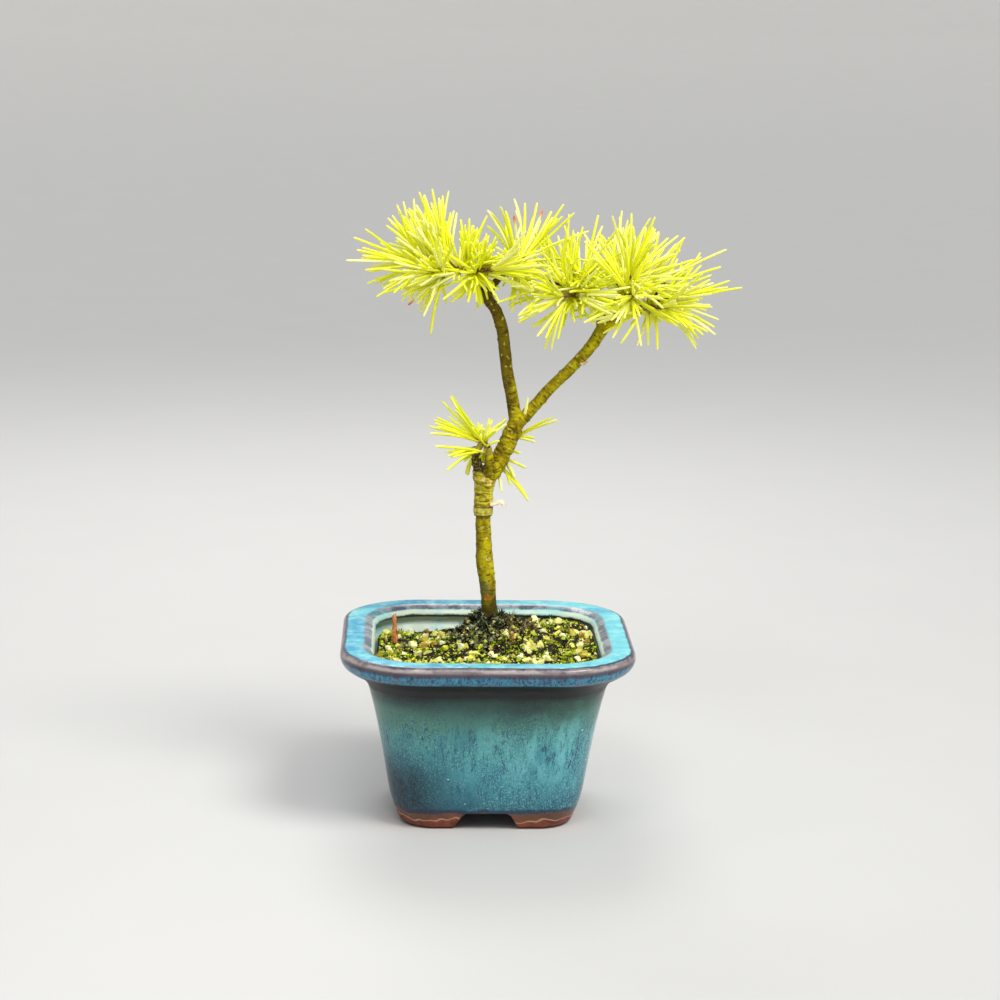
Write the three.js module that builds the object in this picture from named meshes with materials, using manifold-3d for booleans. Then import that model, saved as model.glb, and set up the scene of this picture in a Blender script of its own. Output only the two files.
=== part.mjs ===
// A small Japanese white pine bonsai in a square glazed pot.
//
// Millimetres, +Z up. The tree is a grafted seedling: one slim stem, bound with
// grafting tape where the pine was joined to its rootstock, that forks into a
// left and a right branch. Needles grow in fascicles of five along short shoots,
// and the needles of each spray are one body with the shoots that carry them.
// The pot stands on four corner feet and has a drain hole with a mesh over it.
// Shapes are worked out about the pot's own axis. The last lines shift the whole
// group, so that the origin is below the middle of the bounding box.
import * as THREE from "three";
import { mergeVertices } from "three/addons/utils/BufferGeometryUtils.js";
import Module from "manifold-3d";

const wasm = await Module();
wasm.setup();

// Pot
const RIM_HALF = 45; // half the width over the rim
const POT_TALL = 55.5;
const RIM_CORNER = 25; // corner radius at the rim, seen from above
const CORNER_POWER = 1.6; // how fast the corners tighten towards the foot
const CORNER_POINTS = 6;
const FOOT_TALL = 5.6;
const FLOOR_TOP = 9.6;
const FOOT_RECESS_HALF = 21;
const NOTCH_BOTTOM_HALF = 10;
const NOTCH_TOP_HALF = 7;
const DRAIN_RADIUS = 6;

// Drain mesh
const MESH_HALF = 10.5;
const MESH_THICK = 0.8;
const MESH_HOLES = 4;
const MESH_HOLE = 3.4;
const MESH_PITCH = 4.8;

// Soil
const GAP = 0.3; // clearance between neighbouring solids
const SOIL_RINGS = 8;
const PEBBLES = 34;
const PEBBLE_SEED = 11;
const TRUNK_XY = [1.8, 8];
const MOUND_TALL = 7.2;
const MOUND_REACH = 12.5;

// Moss round the stem
const MOSS_OUTER = 12;
const MOSS_DEEP = 2.4;
const MOSS_RINGS = 5;
const MOSS_SPOKES = 18;

// Needles
const GOLDEN = 2.399963;
const NEEDLE_RADIUS = 0.52;
const NEEDLE_SHORT = 14.5;
const NEEDLE_LONG = 21;
const KNEE = 0.8; // where a needle's taper starts, as a share of its length
const SPLAY = 0.34; // mean angle between a needle and its fascicle
const SPLAY_RANGE = 0.4;
const LEAN_BASE = 1.5; // angle between a fascicle and its shoot, at the shoot's foot
const LEAN_TIP = 0.75; // and next to the last fascicle, which points along the shoot
const LIFT = 0.09;
const BEND = 0.04;
const TRIES = 60;
const INNER_SHARE = 0.1; // needles of one spray may touch within this share of their length
const SAME_SPRAY_GAP = 1.15;
const OTHER_SPRAY_GAP = 1.45;

const vec = (p) => new THREE.Vector3(...p);
const mix = (a, b, t) => a + (b - a) * t;

// A seeded random number source that gives 0 to 1.
function randomSource(seed) {
  let state = seed >>> 0;
  return () => {
    state = (state + 0x6d2b79f5) >>> 0;
    let t = Math.imul(state ^ (state >>> 15), state | 1);
    t ^= t + Math.imul(t ^ (t >>> 7), t | 61);
    return ((t ^ (t >>> 14)) >>> 0) / 4294967296;
  };
}

// Turns points and triangles, or any closed geometry, into a solid that can be joined and cut.
function solidOf(geometry) {
  const bare = geometry.clone();
  bare.deleteAttribute("normal");
  bare.deleteAttribute("uv");
  const merged = mergeVertices(bare, 1e-4);
  return new wasm.Manifold(
    new wasm.Mesh({
      numProp: 3,
      vertProperties: merged.getAttribute("position").array,
      triVerts: new Uint32Array(merged.index.array),
    }),
  );
}

function solidFrom(points, triangles) {
  const geometry = new THREE.BufferGeometry().setFromPoints(points);
  geometry.setIndex(triangles.flat());
  return solidOf(geometry);
}

function geometryOf(solid) {
  const mesh = solid.getMesh();
  const geometry = new THREE.BufferGeometry();
  geometry.setAttribute("position", new THREE.BufferAttribute(mesh.vertProperties, 3));
  geometry.setIndex(new THREE.BufferAttribute(mesh.triVerts, 1));
  const flat = geometry.toNonIndexed();
  flat.computeVertexNormals();
  return flat;
}

const join = (solids) => wasm.Manifold.union(solids);

// Needles packed round a shoot can shut in a pocket of air. Only the outer skin is kept.
function withoutPockets(solid) {
  const skins = solid.decompose();
  return skins.reduce((largest, skin) => (skin.volume() > largest.volume() ? skin : largest));
}

// Skins a stack of rings, each with the same number of points, and closes both ends on a point.
function loft(rings, first, last) {
  const sides = rings[0].length;
  const points = [...rings.flat(), first, last];
  const foot = rings.length * sides;
  const triangles = [];
  for (let i = 0; i < sides; i++) {
    const j = (i + 1) % sides;
    for (let r = 0; r + 1 < rings.length; r++) {
      const low = r * sides;
      const high = low + sides;
      triangles.push([low + i, low + j, high + j], [low + i, high + j, high + i]);
    }
    triangles.push([foot, j, i]);
    const top = (rings.length - 1) * sides;
    triangles.push([foot + 1, top + i, top + j]);
  }
  return solidFrom(points, triangles);
}

// A stem of varying radius along a smooth line through the given points.
// Each entry is [x, y, z, radius]. The ends are flat, and dome lifts the far one.
function limb(stations, sides, steps, dome = 0, swell = 0) {
  const curve = new THREE.CatmullRomCurve3(stations.map((s) => vec(s)));
  const last = stations.length - 1;
  const normal = new THREE.Vector3(0, -1, 0.2);
  const rings = [];
  const centres = [];
  for (let i = 0; i <= steps; i++) {
    const t = i / steps;
    const centre = curve.getPoint(t);
    const tangent = curve.getTangent(t);
    normal.addScaledVector(tangent, -normal.dot(tangent)).normalize();
    const side = new THREE.Vector3().crossVectors(tangent, normal);
    const k = Math.min(Math.floor(t * last), last - 1);
    const wave = 1 + swell * Math.sin(i * 2.3) * Math.cos(i * 0.9);
    const radius = mix(stations[k][3], stations[k + 1][3], t * last - k) * wave;
    const ring = [];
    for (let n = 0; n < sides; n++) {
      const a = (2 * Math.PI * n) / sides;
      ring.push(
        centre
          .clone()
          .addScaledVector(normal, radius * Math.cos(a))
          .addScaledVector(side, radius * Math.sin(a)),
      );
    }
    rings.push(ring);
    centres.push({ at: centre, radius, tangent });
  }
  const end = centres[steps];
  const tip = end.at.clone().addScaledVector(end.tangent, dome);
  return loft(rings, centres[0].at, tip);
}

// Pot

// A square with round corners, as a ring of points at one height.
function squareRing(half, z) {
  const radius = RIM_CORNER * Math.pow(half / RIM_HALF, CORNER_POWER);
  const flat = half - radius;
  const ring = [];
  for (let corner = 0; corner < 4; corner++) {
    const middle = Math.PI / 4 + (corner * Math.PI) / 2;
    const cx = Math.sign(Math.cos(middle)) * flat;
    const cy = Math.sign(Math.sin(middle)) * flat;
    for (let i = 0; i < CORNER_POINTS; i++) {
      const a = ((corner + i / (CORNER_POINTS - 1)) * Math.PI) / 2;
      ring.push(new THREE.Vector3(cx + radius * Math.cos(a), cy + radius * Math.sin(a), z));
    }
  }
  return ring;
}

// Half width and height of the outer wall, from the foot up to the rim's crown,
// then of the inner wall down to the floor. The rim hangs over a groove inside.
const OUTER_WALL = [
  [25.2, 0],
  [26.5, 0.9],
  [27.7, 3.6],
  [29.5, 9],
  [31.1, 18],
  [33, 29],
  [34.8, 37.5],
  [35.7, POT_TALL - 14.5],
  [36.6, POT_TALL - 11.2],
  [38.4, POT_TALL - 8.8],
  [41.4, POT_TALL - 6.9],
  [43.8, POT_TALL - 5.2],
  [44.8, POT_TALL - 3.4],
  [RIM_HALF, POT_TALL - 2],
  [44.7, POT_TALL - 0.8],
  [43.8, POT_TALL - 0.1],
];
const RIM_TOP = [
  [40.8, POT_TALL],
  [38, POT_TALL - 0.1],
  [36.5, POT_TALL - 0.7],
];
const INNER_WALL = [
  [35.2, POT_TALL - 1.7],
  [34.6, POT_TALL - 3],
  [35, POT_TALL - 3.7],
  [37.2, POT_TALL - 4.2],
  [37.3, POT_TALL - 5.2],
  [35.9, POT_TALL - 7.8],
  [33.4, POT_TALL - 10.8],
  [31.8, POT_TALL - 14],
  [29.8, 28],
  [27.6, 15],
  [26.4, 11],
  [24, FLOOR_TOP],
];

function notchCutter() {
  const shape = new THREE.Shape([
    new THREE.Vector2(-NOTCH_BOTTOM_HALF - 0.5, -0.5),
    new THREE.Vector2(NOTCH_BOTTOM_HALF + 0.5, -0.5),
    new THREE.Vector2(NOTCH_TOP_HALF, FOOT_TALL),
    new THREE.Vector2(-NOTCH_TOP_HALF, FOOT_TALL),
  ]);
  const bar = new THREE.ExtrudeGeometry(shape, { depth: 2 * RIM_HALF, bevelEnabled: false });
  bar.translate(0, 0, -RIM_HALF);
  bar.rotateX(Math.PI / 2);
  return bar;
}

function potSolid() {
  const rings = [...OUTER_WALL, ...RIM_TOP, ...INNER_WALL].map(([half, z]) => squareRing(half, z));
  const shell = loft(rings, new THREE.Vector3(0, 0, 0), new THREE.Vector3(0, 0, FLOOR_TOP));
  const recess = loft(
    [squareRing(FOOT_RECESS_HALF, -1), squareRing(FOOT_RECESS_HALF - 1, FOOT_TALL)],
    new THREE.Vector3(0, 0, -1),
    new THREE.Vector3(0, 0, FOOT_TALL),
  );
  const across = notchCutter();
  const along = notchCutter().rotateZ(Math.PI / 2);
  const drain = new THREE.CylinderGeometry(DRAIN_RADIUS, DRAIN_RADIUS, 12, 20);
  drain.rotateX(Math.PI / 2).translate(0, 0, 8);
  return shell
    .subtract(recess)
    .subtract(solidOf(across))
    .subtract(solidOf(along))
    .subtract(solidOf(drain));
}

// The plastic mesh that keeps the soil from washing out of the drain hole.
function drainMeshSolid() {
  const sheet = solidOf(new THREE.BoxGeometry(2 * MESH_HALF, 2 * MESH_HALF, MESH_THICK));
  const cutters = [];
  for (let i = 0; i < MESH_HOLES; i++)
    for (let j = 0; j < MESH_HOLES; j++) {
      const x = (i - (MESH_HOLES - 1) / 2) * MESH_PITCH;
      const y = (j - (MESH_HOLES - 1) / 2) * MESH_PITCH;
      cutters.push(solidOf(new THREE.BoxGeometry(MESH_HOLE, MESH_HOLE, 3 * MESH_THICK).translate(x, y, 0)));
    }
  return sheet.subtract(join(cutters)).translate([0, 0, FLOOR_TOP + GAP + MESH_THICK / 2]);
}

// Soil

// Height of the soil: low at the back left, where the pot's inner wall shows, and heaped round the stem.
function soilHeight(x, y) {
  const level = POT_TALL - 5;
  const tilt = 1.6 * Math.tanh(x / 18) + 0.7 * Math.tanh(-y / 20) + 1.1 * Math.exp(-((x - 20) ** 2 + (y - 22) ** 2) / 160);
  const dip = -2.4 * Math.exp(-((x + 18) ** 2 + (y - 28) ** 2) / 240);
  const reach = Math.hypot(x - TRUNK_XY[0], y - TRUNK_XY[1]) / MOUND_REACH;
  const mound = MOUND_TALL * Math.exp(-reach * reach);
  const ripple = 0.35 * Math.sin(x * 0.9 + y * 0.4) * Math.cos(y * 0.8 - x * 0.3);
  return level + tilt + dip + mound + ripple;
}

// Half width of the pot's inside at a height, by straight lines between the wall's points.
function innerHalf(z) {
  const wall = INNER_WALL;
  for (let i = 0; i + 1 < wall.length; i++) {
    const [a, za] = wall[i];
    const [b, zb] = wall[i + 1];
    if (z <= za && z >= zb) return mix(a, b, (za - z) / (za - zb));
  }
  return z > wall[0][1] ? wall[0][0] : wall.at(-1)[0];
}

// Where the soil's surface meets the pot's wall, the edge follows the wall's width at that height.
function soilEdge(point) {
  const z = soilHeight(point.x, point.y);
  const half = Math.min(innerHalf(z), innerHalf(POT_TALL - 3)) - 2 * GAP;
  const scale = half / innerHalf(POT_TALL - 3);
  return new THREE.Vector3(point.x * scale, point.y * scale, z);
}

function soilSolid(hole) {
  const outline = squareRing(innerHalf(POT_TALL - 3), 0);
  const edge = outline.map(soilEdge);
  const walls = [
    [24, FLOOR_TOP + 2 * GAP + MESH_THICK],
    [26.8, 15],
    [29.2, 28],
    [31.2, POT_TALL - 14],
    [32.4, POT_TALL - 11],
  ].map(([half, z]) => squareRing(half - GAP, z));
  const top = [];
  for (let r = 1; r < SOIL_RINGS; r++) {
    const share = 1 - r / SOIL_RINGS;
    top.push(
      edge.map((p) => new THREE.Vector3(p.x * share, p.y * share, soilHeight(p.x * share, p.y * share))),
    );
  }
  const middle = new THREE.Vector3(0, 0, soilHeight(0, 0));
  const floor = new THREE.Vector3(0, 0, FLOOR_TOP + 2 * GAP + MESH_THICK);
  const ground = loft([...walls, edge, ...top], floor, middle);
  return join([ground, ...pebbleSolids(ground)]).subtract(hole);
}

// Grit on the soil: small angular stones, about half sunk.
function pebbleSolids(ground) {
  const random = randomSource(PEBBLE_SEED);
  const pebbles = [];
  const places = [];
  while (pebbles.length < PEBBLES) {
    const x = mix(-31, 31, random());
    const y = mix(-31, 31, random());
    const size = mix(1.3, 2.6, random());
    const turn = random() * Math.PI;
    const flat = mix(0.6, 0.9, random());
    const corner = Math.hypot(Math.max(Math.abs(x) - 19, 0), Math.max(Math.abs(y) - 19, 0));
    const nearStem = Math.hypot(x - TRUNK_XY[0], y - TRUNK_XY[1]) < MOSS_OUTER + 3;
    const crowded = places.some((p) => Math.hypot(p.x - x, p.y - y) < p.size + size);
    if (corner + size > 13.5 || nearStem || crowded) continue;
    places.push({ x, y, size });
    const stone = new THREE.OctahedronGeometry(size);
    stone.rotateX(0.5).rotateY(0.4).scale(1, 0.75, flat).rotateZ(turn);
    stone.translate(x, y, soilHeight(x, y) + size * 0.1);
    const solid = solidOf(stone);
    if (solid.intersect(ground).volume() > 0.2 * solid.volume()) pebbles.push(solid);
  }
  return pebbles;
}

// A collar of dark moss that lies on the mound round the stem, lumpy on top.
function mossSolid(hole) {
  const [cx, cy] = TRUNK_XY;
  const rings = [];
  const ringAt = (share, lift) => {
    const ring = [];
    for (let i = 0; i < MOSS_SPOKES; i++) {
      const a = (2 * Math.PI * i) / MOSS_SPOKES;
      const reach = share * MOSS_OUTER * (1 + 0.12 * Math.sin(3 * a + 1) + 0.08 * Math.sin(5 * a));
      const x = cx + reach * Math.cos(a);
      const y = cy + reach * Math.sin(a);
      const lump = 0.45 * Math.sin(i * 2.4 + share * 17);
      ring.push(new THREE.Vector3(x, y, soilHeight(x, y) + 2 * GAP + lift * (MOSS_DEEP + lump)));
    }
    return ring;
  };
  for (let r = 1; r <= MOSS_RINGS; r++) rings.push(ringAt(r / MOSS_RINGS, 0));
  for (let r = MOSS_RINGS; r >= 1; r--) {
    const share = r / MOSS_RINGS;
    rings.push(ringAt(share * 0.985, 0.35 + 0.65 * (1 - share ** 3)));
  }
  const low = new THREE.Vector3(cx, cy, soilHeight(cx, cy) + 2 * GAP);
  const high = new THREE.Vector3(cx, cy, soilHeight(cx, cy) + 2 * GAP + MOSS_DEEP);
  return loft(rings, low, high).subtract(hole);
}

// Wood: [x, y, z, radius] stations of each limb.
const STEM = [
  [1.9, 7.6, 44, 2.2],
  [1.9, 8, 52, 2.7],
  [1.7, 8, 59, 2.9],
  [1.3, 8, 62.6, 2.5],
  [0.5, 8, 68.4, 2.45],
  [-0.5, 8, 75.8, 2.65],
  [-1, 8, 83.2, 2.45],
  [-1.3, 8, 90.5, 2.3],
  [-1.2, 8, 97.8, 2.3],
  [-0.6, 8, 102.9, 2.9],
  [1.8, 8, 106, 3],
  [4.5, 8, 110.8, 2.75],
  [7.3, 8, 117.2, 2.75],
  [9.1, 8, 121.5, 2.3],
];
const TAPE = [
  [-1.3, 8, 91, 2.85],
  [-1.27, 8, 94, 2.95],
  [-1.2, 8, 97.8, 2.95],
  [-0.95, 8, 100.2, 3.15],
  [-0.7, 8, 102.1, 3.5],
];
const TAPE_TAIL = [
  [1.2, 6.4, 94.6, 0.5],
  [2.6, 5.6, 95.2, 0.5],
  [3.7, 5.3, 95.2, 0.55],
  [4.6, 5.1, 93.9, 0.45],
];
const STUB = [
  [-1, 8, 101.8, 1.3],
  [-2.9, 8, 105.4, 1.5],
  [-3.7, 8, 109.2, 1.4],
  [-3.9, 8, 113, 1.15],
];
const SPUR = [
  [1.6, 6.8, 105, 1.3],
  [0.8, 4.4, 108.2, 1.25],
  [0.3, 3.4, 111.4, 1.2],
];
const BUD = [
  [10.6, 7.4, 123.2, 0.8],
  [11.4, 7.1, 125.6, 0.7],
  [12, 7, 127.6, 0.4],
];
const STEM_SPUR = [
  [4.6, 7, 112.4, 1.2],
  [6.6, 5.9, 112.8, 1],
  [7.8, 5.3, 112.7, 0.95],
];
const STEM_AIMS = [
  [0.8, -0.2, 0.55],
  [0.5, -0.2, -0.85],
  [0.9, -0.4, -0.2],
];
const LEFT_BRANCH = [
  [8.6, 8, 119.6, 2.2],
  [7.5, 8, 126.7, 2.1],
  [6.5, 8, 131.6, 2],
  [5.4, 8, 137.5, 1.95],
  [4.6, 8, 144, 1.95],
  [3.6, 8, 150.5, 1.9],
  [1.6, 7.8, 155.6, 1.85],
  [-1.3, 7.4, 159.6, 1.7],
  [-4.2, 7, 164.2, 1.5],
];
const RIGHT_BRANCH = [
  [9.2, 8, 120.4, 2.2],
  [12.4, 8, 124.6, 2.1],
  [18.4, 8, 132.2, 2.05],
  [24.8, 8, 138.3, 2],
  [31, 8, 144.7, 2.05],
  [34.8, 8, 150.2, 2.1],
];
const CENTRE_TWIG = [
  [-0.9, 7.5, 159, 1.3],
  [0.3, 7.6, 162.4, 1.2],
  [2.4, 7.6, 165.2, 1.1],
];
const INNER_ARM = [
  [34.4, 8, 149.6, 1.7],
  [34.2, 7.8, 154, 1.5],
  [32.6, 7.5, 157.8, 1.35],
];
const CROWN_ARM = [
  [34.4, 8, 149.6, 1.7],
  [38.4, 7.8, 152.8, 1.5],
  [40.6, 7.2, 158.4, 1.3],
];
const OUTER_ARM = [
  [37.2, 8, 151.8, 1.4],
  [41, 8, 153.8, 1.35],
  [44.4, 8, 155.8, 1.25],
];

// Each spray grows on the flat end of a limb, in line with it, and reach scales its needles. A shoot is its tip,
// its fascicle count and where along the first shoot it branches off.
const SPRAYS = [
  {
    name: "needles_left",
    seat: LEFT_BRANCH,
    knot: [-6.2, 6.6, 167.4],
    reach: 1,
    shoots: [
      { tip: [-22.5, 5.4, 170], count: 10, off: 0 },
      { tip: [-17, -8, 168.4], count: 6, off: 0.12 },
      { tip: [-18.5, 18, 170.2], count: 6, off: 0.2 },
      { tip: [-14, 7, 172.4], count: 5, off: 0.34 },
      { tip: [-0.5, -2, 169], count: 3, off: 0 },
    ],
  },
  {
    name: "needles_centre",
    seat: CENTRE_TWIG,
    knot: [4.4, 7.6, 167.2],
    reach: 1,
    shoots: [
      { tip: [10.2, 8, 171.4], count: 6, off: 0 },
      { tip: [6, 16, 169.6], count: 3, off: 0.1 },
    ],
  },
  {
    name: "needles_right_inner",
    seat: INNER_ARM,
    knot: [30.6, 7.2, 160.4],
    reach: 1,
    shoots: [
      { tip: [19, 3.5, 164.4], count: 8, off: 0 },
      { tip: [25, 18, 163.8], count: 6, off: 0.1 },
      { tip: [21.5, -6.5, 161.8], count: 5, off: 0.18 },
      { tip: [27.6, 9, 167], count: 4, off: 0 },
    ],
  },
  {
    name: "needles_right_crown",
    seat: CROWN_ARM,
    knot: [41, 6.8, 160.4],
    reach: 1,
    shoots: [
      { tip: [42, 4, 166], count: 6, off: 0 },
      { tip: [47, 11.5, 164.6], count: 5, off: 0 },
      { tip: [42.6, -8, 162.4], count: 5, off: 0 },
      { tip: [38.6, 18, 164], count: 4, off: 0 },
    ],
  },
  {
    name: "needles_right_outer",
    seat: OUTER_ARM,
    knot: [46.4, 7.9, 156.8],
    reach: 1,
    shoots: [
      { tip: [56, 5.4, 160], count: 7, off: 0 },
      { tip: [51, -6.5, 158.6], count: 5, off: 0.08 },
      { tip: [52.4, 18.5, 159.6], count: 5, off: 0.1 },
      { tip: [52.6, 9, 163.4], count: 4, off: 0.14 },
    ],
  },
  {
    name: "needles_low",
    seat: SPUR,
    knot: [0, 2.8, 113.6],
    reach: 0.86,
    shoots: [{ tip: [-2.8, 1.8, 115.8], count: 8, off: 0 }],
  },
  {
    name: "needles_stem",
    seat: STEM_SPUR,
    knot: [8.8, 5, 112.6],
    reach: 0.62,
    shoots: [{ tip: [9.8, 4.6, 112.2], count: 3, off: 0, aims: STEM_AIMS }],
  },
];

// Where a spray meets its limb: a point just past the limb's end, in line with it.
function seatPoint(stations) {
  const [before, end] = stations.slice(-2).map(vec);
  const along = end.clone().sub(before).normalize();
  return end.addScaledVector(along, GAP);
}

// The shoots of a spray as straight pieces with a radius at each end.
function shootsOf(spray) {
  const knot = vec(spray.knot);
  const [main] = spray.shoots;
  const neck = { from: seatPoint(spray.seat), to: knot, thick: spray.seat.at(-1)[3], thin: 1.1, count: 0 };
  const grown = spray.shoots.map((shoot) => ({
    from: knot.clone().lerp(vec(main.tip), shoot.off),
    to: vec(shoot.tip),
    thick: 1.05,
    thin: 0.8,
    count: shoot.count,
    aims: shoot.aims,
  }));
  return [neck, ...grown];
}

// Least distance between the segments a-b and c-d.
function segmentDistance(a, b, c, d) {
  const u = b.clone().sub(a);
  const v = d.clone().sub(c);
  const w = a.clone().sub(c);
  const uu = u.dot(u);
  const vv = v.dot(v);
  const uv = u.dot(v);
  const uw = u.dot(w);
  const vw = v.dot(w);
  const area = uu * vv - uv * uv;
  let s = area > 1e-9 ? THREE.MathUtils.clamp((uv * vw - vv * uw) / area, 0, 1) : 0;
  const t = THREE.MathUtils.clamp((uv * s + vw) / vv, 0, 1);
  s = THREE.MathUtils.clamp((uv * t - uw) / uu, 0, 1);
  return w.addScaledVector(u, s).addScaledVector(v, -t).length();
}

// A needle is clear if it touches no wood but its own shoot, no needle of another spray,
// and no needle of another fascicle of its own spray beyond the crowded part near the shoot.
function isClear(needle, needles, woods) {
  const outer = needle.root.clone().lerp(needle.knee, INNER_SHARE / KNEE);
  for (const wood of woods) {
    if (wood.shoot === needle.shoot) continue;
    const own = wood.spray === needle.spray;
    const start = own ? outer : needle.root;
    const room = wood.radius + NEEDLE_RADIUS + GAP;
    if (segmentDistance(start, needle.knee, wood.a, wood.b) < room) return false;
    if (segmentDistance(needle.knee, needle.tip, wood.a, wood.b) < room) return false;
  }
  for (const other of needles) {
    if (other.fascicle === needle.fascicle) continue;
    const own = other.spray === needle.spray;
    const room = own ? SAME_SPRAY_GAP : OTHER_SPRAY_GAP;
    const start = own ? outer : needle.root;
    const otherStart = own ? other.outer : other.root;
    if (otherStart.distanceTo(start) > 3 * NEEDLE_LONG) continue;
    if (segmentDistance(start, needle.knee, otherStart, other.knee) < room) return false;
    if (segmentDistance(needle.knee, needle.tip, otherStart, other.knee) < room) return false;
    if (segmentDistance(start, needle.knee, other.knee, other.tip) < room) return false;
    if (segmentDistance(needle.knee, needle.tip, other.knee, other.tip) < room) return false;
  }
  needle.outer = outer;
  return true;
}

// Two unit vectors square to an axis and to each other.
function squareTo(axis) {
  const helper = Math.abs(axis.z) > 0.9 ? new THREE.Vector3(1, 0, 0) : new THREE.Vector3(0, 0, 1);
  const u = new THREE.Vector3().crossVectors(axis, helper).normalize();
  return [u, new THREE.Vector3().crossVectors(axis, u)];
}

// The five-sided sheath of a fascicle: a low point inside the shoot, a wide ring and a peak.
// Each of its five upper faces carries one needle.
function sheathOf(foot, aim, roll) {
  const [p, q] = squareTo(aim);
  const corner = (k, radius, height) => {
    const a = roll + (2 * Math.PI * k) / 5;
    return foot
      .clone()
      .addScaledVector(aim, height)
      .addScaledVector(p, radius * Math.cos(a))
      .addScaledVector(q, radius * Math.sin(a));
  };
  return {
    p,
    q,
    low: foot.clone().addScaledVector(aim, -0.3),
    wide: [0, 1, 2, 3, 4].map((k) => corner(k, 0.86, 1.7)),
    peak: foot.clone().addScaledVector(aim, 2.2),
  };
}

// Grows the fascicles of one spray along its shoots, in a golden-angle spiral.
// A fascicle that comes too near an earlier solid is left out.
function growSpray(spray, index, needles, woods, earlier) {
  const random = randomSource(101 + index);
  const fascicles = [];
  shootsOf(spray).forEach((shoot, s) => {
    const axis = shoot.to.clone().sub(shoot.from).normalize();
    const [u, w] = squareTo(axis);
    for (let i = 0; i < shoot.count; i++) {
      const t = (i + 0.5) / shoot.count;
      const turn = i * GOLDEN + 0.6 * random();
      const last = i === shoot.count - 1;
      const lean = last ? 0.05 : mix(LEAN_BASE, LEAN_TIP, Math.pow(t, 1.3)) + 0.3 * (random() - 0.5);
      const spiral = axis
        .clone()
        .multiplyScalar(Math.cos(lean))
        .addScaledVector(u, Math.sin(lean) * Math.cos(turn))
        .addScaledVector(w, Math.sin(lean) * Math.sin(turn));
      const aim = shoot.aims ? vec(shoot.aims[i]) : spiral;
      aim.z += LIFT;
      aim.normalize();
      const foot = shoot.from.clone().lerp(shoot.to, last ? 1 : mix(0.14, 1, t));
      const roll = 2 * Math.PI * random();
      const fascicle = { ...sheathOf(foot, aim, roll), prongs: [] };
      for (let k = 0; k < 5; k++) {
        const face = [fascicle.wide[k], fascicle.wide[(k + 1) % 5], fascicle.peak];
        const root = face[0].clone().add(face[1]).add(face[2]).divideScalar(3);
        let prong = null;
        for (let attempt = 0; attempt < TRIES && !prong; attempt++) {
          const splay = SPLAY + SPLAY_RANGE * (random() - 0.5);
          const around = roll + (2 * Math.PI * (k + 0.5)) / 5 + 0.4 * (random() - 0.5);
          const length = spray.reach * mix(NEEDLE_SHORT, NEEDLE_LONG, random());
          const out = aim
            .clone()
            .multiplyScalar(Math.cos(splay))
            .addScaledVector(fascicle.p, Math.sin(splay) * Math.cos(around))
            .addScaledVector(fascicle.q, Math.sin(splay) * Math.sin(around));
          const rise = new THREE.Vector3(0, 0, BEND * length);
          const needle = {
            root,
            knee: root.clone().addScaledVector(out, KNEE * length).addScaledVector(rise, KNEE * KNEE),
            tip: root.clone().addScaledVector(out, length).add(rise),
            face,
            spray: index,
            shoot: `${index}.${s}`,
            fascicle: `${index}.${s}.${i}`,
          };
          if (isClear(needle, needles, woods)) prong = needle;
        }
        fascicle.prongs.push(prong);
      }
      const solid = fascicleSolid(fascicle);
      if (earlier.some((other) => solid.minGap(other, GAP) < GAP)) continue;
      needles.push(...fascicle.prongs.filter(Boolean));
      fascicles.push(solid);
    }
  });
  return fascicles;
}

// One fascicle as a closed mesh: the sheath, with each upper face drawn out into a three-sided needle.
function fascicleSolid(fascicle) {
  const points = [...fascicle.wide, fascicle.peak, fascicle.low];
  const triangles = [];
  for (let k = 0; k < 5; k++) {
    const next = (k + 1) % 5;
    triangles.push([6, next, k]);
    const face = [k, next, 5];
    const needle = fascicle.prongs[k];
    if (!needle) {
      triangles.push(face);
      continue;
    }
    const along = needle.knee.clone().sub(needle.root).normalize();
    const ring = points.length;
    for (const corner of needle.face) {
      const side = corner.clone().sub(needle.root);
      side.addScaledVector(along, -side.dot(along)).setLength(NEEDLE_RADIUS);
      points.push(needle.knee.clone().add(side));
    }
    points.push(needle.tip);
    for (let e = 0; e < 3; e++) {
      const f = (e + 1) % 3;
      triangles.push([face[e], face[f], ring + f], [face[e], ring + f, ring + e]);
      triangles.push([ring + e, ring + f, ring + 3]);
    }
  }
  return solidFrom(points, triangles);
}

function spraySolid(spray, fascicles) {
  const cores = shootsOf(spray).map(({ from, to, thick, thin }) => {
    const middle = from.clone().lerp(to, 0.5);
    const stations = [
      [...from, thick],
      [...middle, mix(thick, thin, 0.5)],
      [...to, thin],
    ];
    return limb(stations, 7, 2, 0.5);
  });
  return withoutPockets(join([...cores, ...fascicles]));
}

// Wood as straight pieces, which the needles have to miss.
function woodPieces(limbs) {
  return limbs.flatMap((stations) =>
    stations.slice(1).map((station, i) => ({
      a: vec(stations[i]),
      b: vec(station),
      radius: Math.max(station[3], stations[i][3]),
      spray: -1,
    })),
  );
}

const grown = (stations, by) => stations.map(([x, y, z, radius]) => [x, y, z, radius + by]);

function woodSolid() {
  return join([
    limb(STEM, 12, 30, 0.5, 0.035),
    limb(STUB, 8, 6, 0.6, 0.08),
    limb(SPUR, 8, 3, 0),
    limb(STEM_SPUR, 7, 2, 0),
    limb(BUD, 6, 2, 0.5),
    limb(LEFT_BRANCH, 10, 16, 0, 0.03),
    limb(RIGHT_BRANCH, 10, 13, 0.6, 0.03),
    limb(CENTRE_TWIG, 7, 3, 0),
    limb(INNER_ARM, 8, 3, 0),
    limb(CROWN_ARM, 8, 3, 0),
    limb(OUTER_ARM, 8, 3, 0),
  ]);
}

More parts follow.
